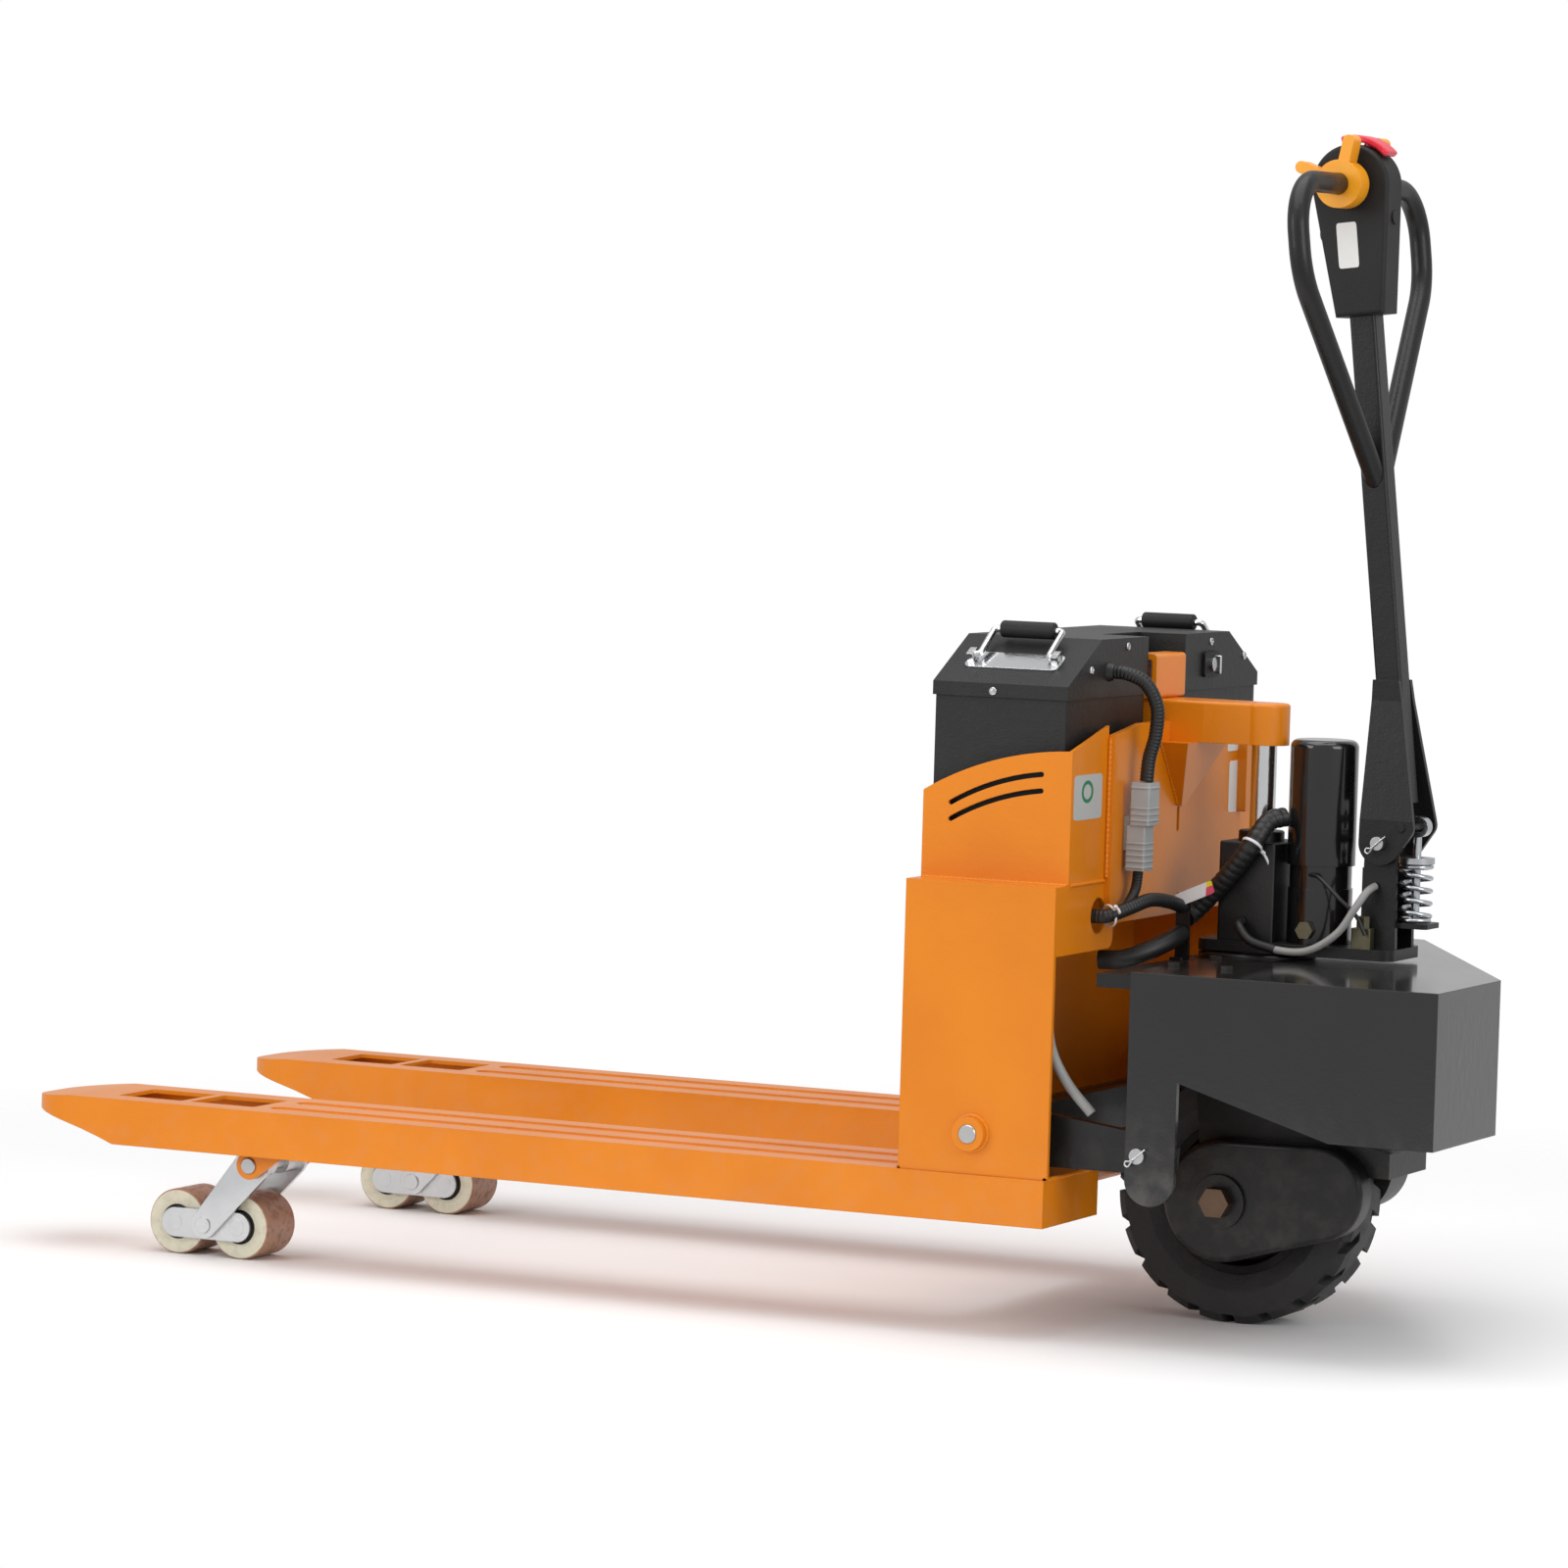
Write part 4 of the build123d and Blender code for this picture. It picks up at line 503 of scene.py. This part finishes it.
SIDE_HOSE = ((-14, -326, 440), (-15, -320, 390), (-12, -312, 340), (6, -304, 300), (36, -300, 266))
side_tube = skin("side_tube", [rings_along(SIDE_HOSE, smooth(0.006))], pale_hose, None)
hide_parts("side_hose")
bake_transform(side_tube)

SIGNAL_HOSE = (
    (112, -46.5, 476), (113, -60, 473), (130, -66, 456), (162, -66, 447), (202, -66, 448), (238, -66, 470),
    (258, -62, 500), (268, -50, 520), (272, -34.5, 526))
signal_rings = rings_along(SIGNAL_HOSE, smooth(0.0045))
signal_tube = skin("signal_tube", [signal_rings], pale_hose, "steer_unit")
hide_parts("signal_hose")
skin("hose_sleeve", [rings_along(SIGNAL_HOSE[:4], smooth(0.0056))], rubber, "steer_unit")
THIN_CABLE = ((192, -37, 535), (210, -50, 532), (238, -58, 510), (258, -56, 492), (270, -56, 470))
skin("thin_cable", [rings_along(THIN_CABLE, smooth(0.0024), around=10)], rubber, "steer_unit")

# ---------------------------------------------------------------- cable ties and tag
# White nylon ties hold the looms, with a square head and a cut tail, and a printed tag left blank
# hangs on the motor lead. All are thin mouldings.
tie_nylon = moulded("tie_nylon", (0.8, 0.79, 0.82), (0.7, 0.69, 0.74), 0.35, 500, 0.0001, 0)
TIE_HALF_WIDTH, TIE_HALF_DEPTH, TIE_HEAD_R = 0.0018, 0.0007, 0.0026


def tie(name, centre, normal, radius, body):
    """A band round a cable: an oval section carried round a circle, a head, and a tail that droops off it."""
    n = Vector(normal).normalized()
    u = n.orthogonal().normalized()
    v = n.cross(u)
    middle = from_heel(centre)
    big = np.linspace(0, 2 * pi, 32, endpoint=False)[:, None, None]
    small = np.linspace(0, 2 * pi, 8, endpoint=False)[None, :, None]
    out = np.cos(big) * np.array(u) + np.sin(big) * np.array(v)
    ring_out = out * (radius + TIE_HALF_DEPTH * np.cos(small))
    band = middle + ring_out - TIE_HALF_WIDTH * np.sin(small) * np.array(n)
    skin(name, [band], tie_nylon, body, loop=True)
    knot = middle + np.array(u) * (radius + 0.001)
    reach = np.array([0, 0.002, 0.004, 0.0055])
    head = knot + reach[:, None, None] * np.array(u) + TIE_HEAD_R * (
        np.cos(small[0]) * np.array(v) + np.sin(small[0]) * np.array(n))[None]
    skin(name + "_head", [head], tie_nylon, body)
    droop = np.array((0, 0, 1))
    tail = [(knot + np.array(u) * k * 0.006 - droop * k * k * 0.0016 - (HEEL, 0, 0)) * MM for k in range(4)]
    tail_rings = rings_along(tail, lambda run, turn: 0.0012 + 0.0006 * np.abs(np.cos(turn)), 0.002, 8)
    skin(name + "_tail", [tail_rings], tie_nylon, body)


tie("loom_tie", (14, -214, 487), (0.6, 1, 0.2), 0.0128, "chassis")
tie("pump_hose_tie", (127, -59, 568), (0.3, 0.5, 0.8), 0.0126, "steer_unit")


PLATE_ROUNDNESS = 0.16  # 0 gives square corners, 1 an ellipse


def sheet_plate(name, corner, along, up, thick, finish, body):
    """A thin plate with rounded corners, from back face to front; corner, sides and thickness in mm."""
    corner = from_heel(corner)
    along, up = np.array(along) / MM, np.array(up) / MM
    turn = np.linspace(0, 2 * pi, 40, endpoint=False)
    a = 0.5 + 0.5 * np.sign(np.cos(turn)) * np.abs(np.cos(turn)) ** PLATE_ROUNDNESS
    b = 0.5 + 0.5 * np.sign(np.sin(turn)) * np.abs(np.sin(turn)) ** PLATE_ROUNDNESS
    face = corner + a[:, None] * along + b[:, None] * up
    out = np.cross(along, up)
    out /= np.linalg.norm(out)
    return skin(name, [np.stack([face, face + out * thick / MM])], finish, body)


paper = moulded("label_vinyl", (0.78, 0.78, 0.76), (0.7, 0.7, 0.69), 0.42, 400, 0.00005, 0)
sheet_plate(
    "head_label", (197.8, -25, 1241.6), (24.8, 0, 2.8), (-6, 0, 52.7), 0.3, paper, "tiller")
sheet_plate("rear_label_low", (8, 158, 588), (0, 34, 0), (0, 0, 62), 0.3, paper, "chassis")
sheet_plate("rear_label_high", (8, 150, 662), (0, 34, 0), (0, 0, 24), 0.3, paper, "chassis")
sticker = Finish("sticker_vinyl", roughness=0.4)
sticker_mark = (sticker.axis("Y", (0, -0.258, 0)) ** 2 * 0.6 + sticker.axis("Z", (0, 0, 0.632)) ** 2) ** 0.5
leaf = sticker_mark.rise(0.0135, 0.0128) * sticker_mark.rise(0.0082, 0.009)
sticker.wire("Base Color", sticker.mix(leaf, (0.46, 0.47, 0.46), (0.02, 0.2, 0.09)))
sheet_plate("shroud_sticker", (0, -297, 600), (0, 82, 0), (0, 0, 52), 0.3, sticker, "chassis")
tag = Finish("tag_vinyl", roughness=0.45)
tag_end = tag.axis("X", (HEEL, 0, 0))
tag_half = tag.axis("Z", (0, 0, 0.512)) - (tag_end - 0.075) * 0.45
stripe = tag_half.rise(-0.0002, 0.0002)
ends = tag.mix(stripe, (0.75, 0.08, 0.14), (0.8, 0.7, 0.02))
tag.wire("Base Color", tag.mix(tag_end.rise(0.0862, 0.0865), (0.8, 0.79, 0.8), ends))
sheet_plate("lead_tag", (52, -97, 492), (46, -2, 20), (-6, 2, 14), 0.4, tag, "drive_frame")

# ---------------------------------------------------------------- screws, pins and welds
# Zinc pan heads hold the lid, wire pins lock the hinge pins, and ripple beads join the orange plates.
def pan_heads(name, places, normal, radius, finish, body):
    """Domes on a polar grid: height falls with the square of the radius, less a cross-shaped recess."""
    n = Vector(normal).normalized()
    u = np.array(n.orthogonal().normalized())
    v = np.cross(np.array(n), u)
    share = np.array([1, 1.0, 0.94, 0.82, 0.66, 0.5, 0.34, 0.2, 0.06])[:, None]
    turn = np.linspace(0, 2 * pi, 24, endpoint=False)[None, :]
    a, b = share * np.cos(turn), share * np.sin(turn)
    cross = (np.minimum(np.abs(a), np.abs(b)) < 0.14) & (share < 0.6)
    rise = np.where(share > 0.97, 0.2, 0.62 - 0.34 * share**2) - 0.25 * cross
    rise[0] = 0
    dome = radius * (a[..., None] * u + b[..., None] * v + rise[..., None] * np.array(n))
    skin(name, [dome + np.array(place) / MM + (HEEL, 0, 0) for place in places], finish, body)


SCREW_R = 0.0048
REAR_SCREWS = [(-13, -227, 770), (-13, -120, 795), (-13, 138, 794), (-13, 246, 774)]
pan_heads("lid_rear_screws", REAR_SCREWS, (1, 0, 0), SCREW_R, coil_zinc, "chassis")
pan_heads("lid_side_screws", [(-107, -293, 744)], (0, -1, 0), SCREW_R, coil_zinc, "chassis")
pan_heads("lid_far_screws", [(-107, 293, 744)], (0, 1, 0), SCREW_R, coil_zinc, "chassis")


def split_pin(name, centre, body):
    """A bent wire: an eye above the hinge pin and two legs out below it."""
    x, y, z = centre
    course = [
        (x + 11, y - 1, z + 9), (x + 4, y - 1, z + 3), (x - 3, y - 1, z - 3), (x - 8, y - 1, z - 6),
        (x - 12, y - 1.4, z - 6), (x - 13, y - 2, z - 10), (x - 9, y - 2.6, z - 12), (x - 6, y - 3, z - 8.5),
        (x - 4, y - 3.2, z - 5)]
    skin(name, [rings_along(course, smooth(0.0011), 0.0015, 8)], coil_zinc, body)


for name, node, body in (
    ("leg_split_pin", "frame_leg_pins", "drive_frame"),
    ("tiller_split_pin", "tiller_pin", "steer_unit"),
):
    low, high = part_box(node)
    split_pin(name, (((low.x + high.x) / 2 - HEEL) * MM, low.y * MM, (low.z + high.z) / 2 * MM), body)



def rippled(run, turn):
    """A weld bead's radius, with a ripple every 6 mm."""
    return 0.0024 + 0.0004 * np.cos(2 * pi * run / 0.006)


BEADS = {
    "fork_welds": [((-188, s * 340, 190), (-188, s * 262, 190), (-188, s * 184, 190)) for s in (-1, 1)],
    "shroud_side_welds": [((-184, s * 304, 526), (-100, s * 304, 526), (-2, s * 304, 526)) for s in (-1, 1)],
    "shroud_rear_welds": [((0.5, s * 301, 526), (0.5, s * 250, 526), (0.5, s * 202, 526)) for s in (-1, 1)],
    "plate_welds": [((2, s * 199.5, 530), (2, s * 199.5, 610), (2, s * 199.5, 692)) for s in (-1, 1)],
    "gusset_welds": [((9, s * 63, 681), (9, s * 34, 644), (9, s * 6, 606)) for s in (-1, 1)],
    "heel_welds": [((-3, s * 340, 190), (-3, s * 262, 190), (-3, s * 184, 190)) for s in (-1, 1)],
}
for name, courses in BEADS.items():
    bead = [rings_along(course, rippled, 0.0015, 8) for course in courses]
    skin(name, bead, orange, "chassis")
SHAFT = (HEEL - 0.097, 0.237)
BOSS_FACE, BOSS_WELD_R = 0.340, 0.0205
turn = np.linspace(0, 2 * pi, 72, endpoint=False)[:, None, None]
section = np.linspace(0, 2 * pi, 8, endpoint=False)[None, :, None]
for name, face in (("boss_weld_near", -1), ("boss_weld_far", 1)):
    ripple = 0.0026 + 0.0003 * np.cos(turn * 24)
    reach = BOSS_WELD_R + ripple * np.cos(section)
    bead = np.concatenate([
        SHAFT[0] + reach * np.cos(turn), face * BOSS_FACE - ripple * np.sin(section) + 0 * turn,
        SHAFT[1] + reach * np.sin(turn)], -1)
    skin(name, [bead], orange, "chassis", loop=True)

# ---------------------------------------------------------------- tiller spring
# A coil of zinc-plated wire between the bracket's seat and the cap that pulls the tiller upright.
SPRING_X, SPRING_LOW, SPRING_HIGH = HEEL + 0.310, 0.4845, 0.5525
SPRING_TURNS, SPRING_R, WIRE_R = 5.5, 0.0172, 0.0029
sweep = np.linspace(0, 2 * pi * SPRING_TURNS, 264)
FLAT_END = 4  # radians at each end that lie flat
wind = np.clip((sweep - FLAT_END) / (sweep[-1] - 2 * FLAT_END), 0, 1)
round_wire = np.linspace(0, 2 * pi, 14, endpoint=False)[None, :]
out = SPRING_R + WIRE_R * np.cos(round_wire)
rise = SPRING_LOW + WIRE_R + (SPRING_HIGH - SPRING_LOW - 2 * WIRE_R) * wind[:, None]
coil_rings = np.stack([
    SPRING_X + out * np.cos(sweep)[:, None], -out * np.sin(sweep)[:, None],
    rise - WIRE_R * np.sin(round_wire)], -1)
tiller_coil = skin("tiller_coil", [coil_rings], coil_zinc, "steer_unit")
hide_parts("tiller_spring")
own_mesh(tiller_coil)

# ---------------------------------------------------------------- connector and grips
# The battery plug is two ribbed shells with a latch; the ribs are separate rings round each half.
BAND_ROUNDNESS = 0.25


def band_round(name, centre, half_x, half_y, heights, finish, body):
    """Square bands: a superellipse ring, raised 1 mm from the shell at each height."""
    turn = np.linspace(0, 2 * pi, 32, endpoint=False)
    a = np.sign(np.cos(turn)) * np.abs(np.cos(turn)) ** BAND_ROUNDNESS
    b = np.sign(np.sin(turn)) * np.abs(np.sin(turn)) ** BAND_ROUNDNESS
    grids = []
    for height in heights:
        levels = [(height - 1.6, 0.3), (height - 1.0, 1.0), (height + 1.0, 1.0), (height + 1.6, 0.3)]
        grids.append(np.stack([np.stack([
            (centre[0] + a * (half_x + grow)) / MM + HEEL, (centre[1] + b * (half_y + grow)) / MM,
            0 * a + z / MM], -1) for z, grow in levels]))
    return skin(name, grids, finish, body)


UPPER_RIBS = (596, 603, 610, 634)
LOWER_RIBS = (541, 548, 555, 562, 569)
band_round("plug_ribs_upper", (30, -157), 12, 16, UPPER_RIBS, grey_plastic, "chassis")
band_round("plug_ribs_lower", (25, -157), 12, 14, LOWER_RIBS, grey_plastic, "chassis")

low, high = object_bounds()
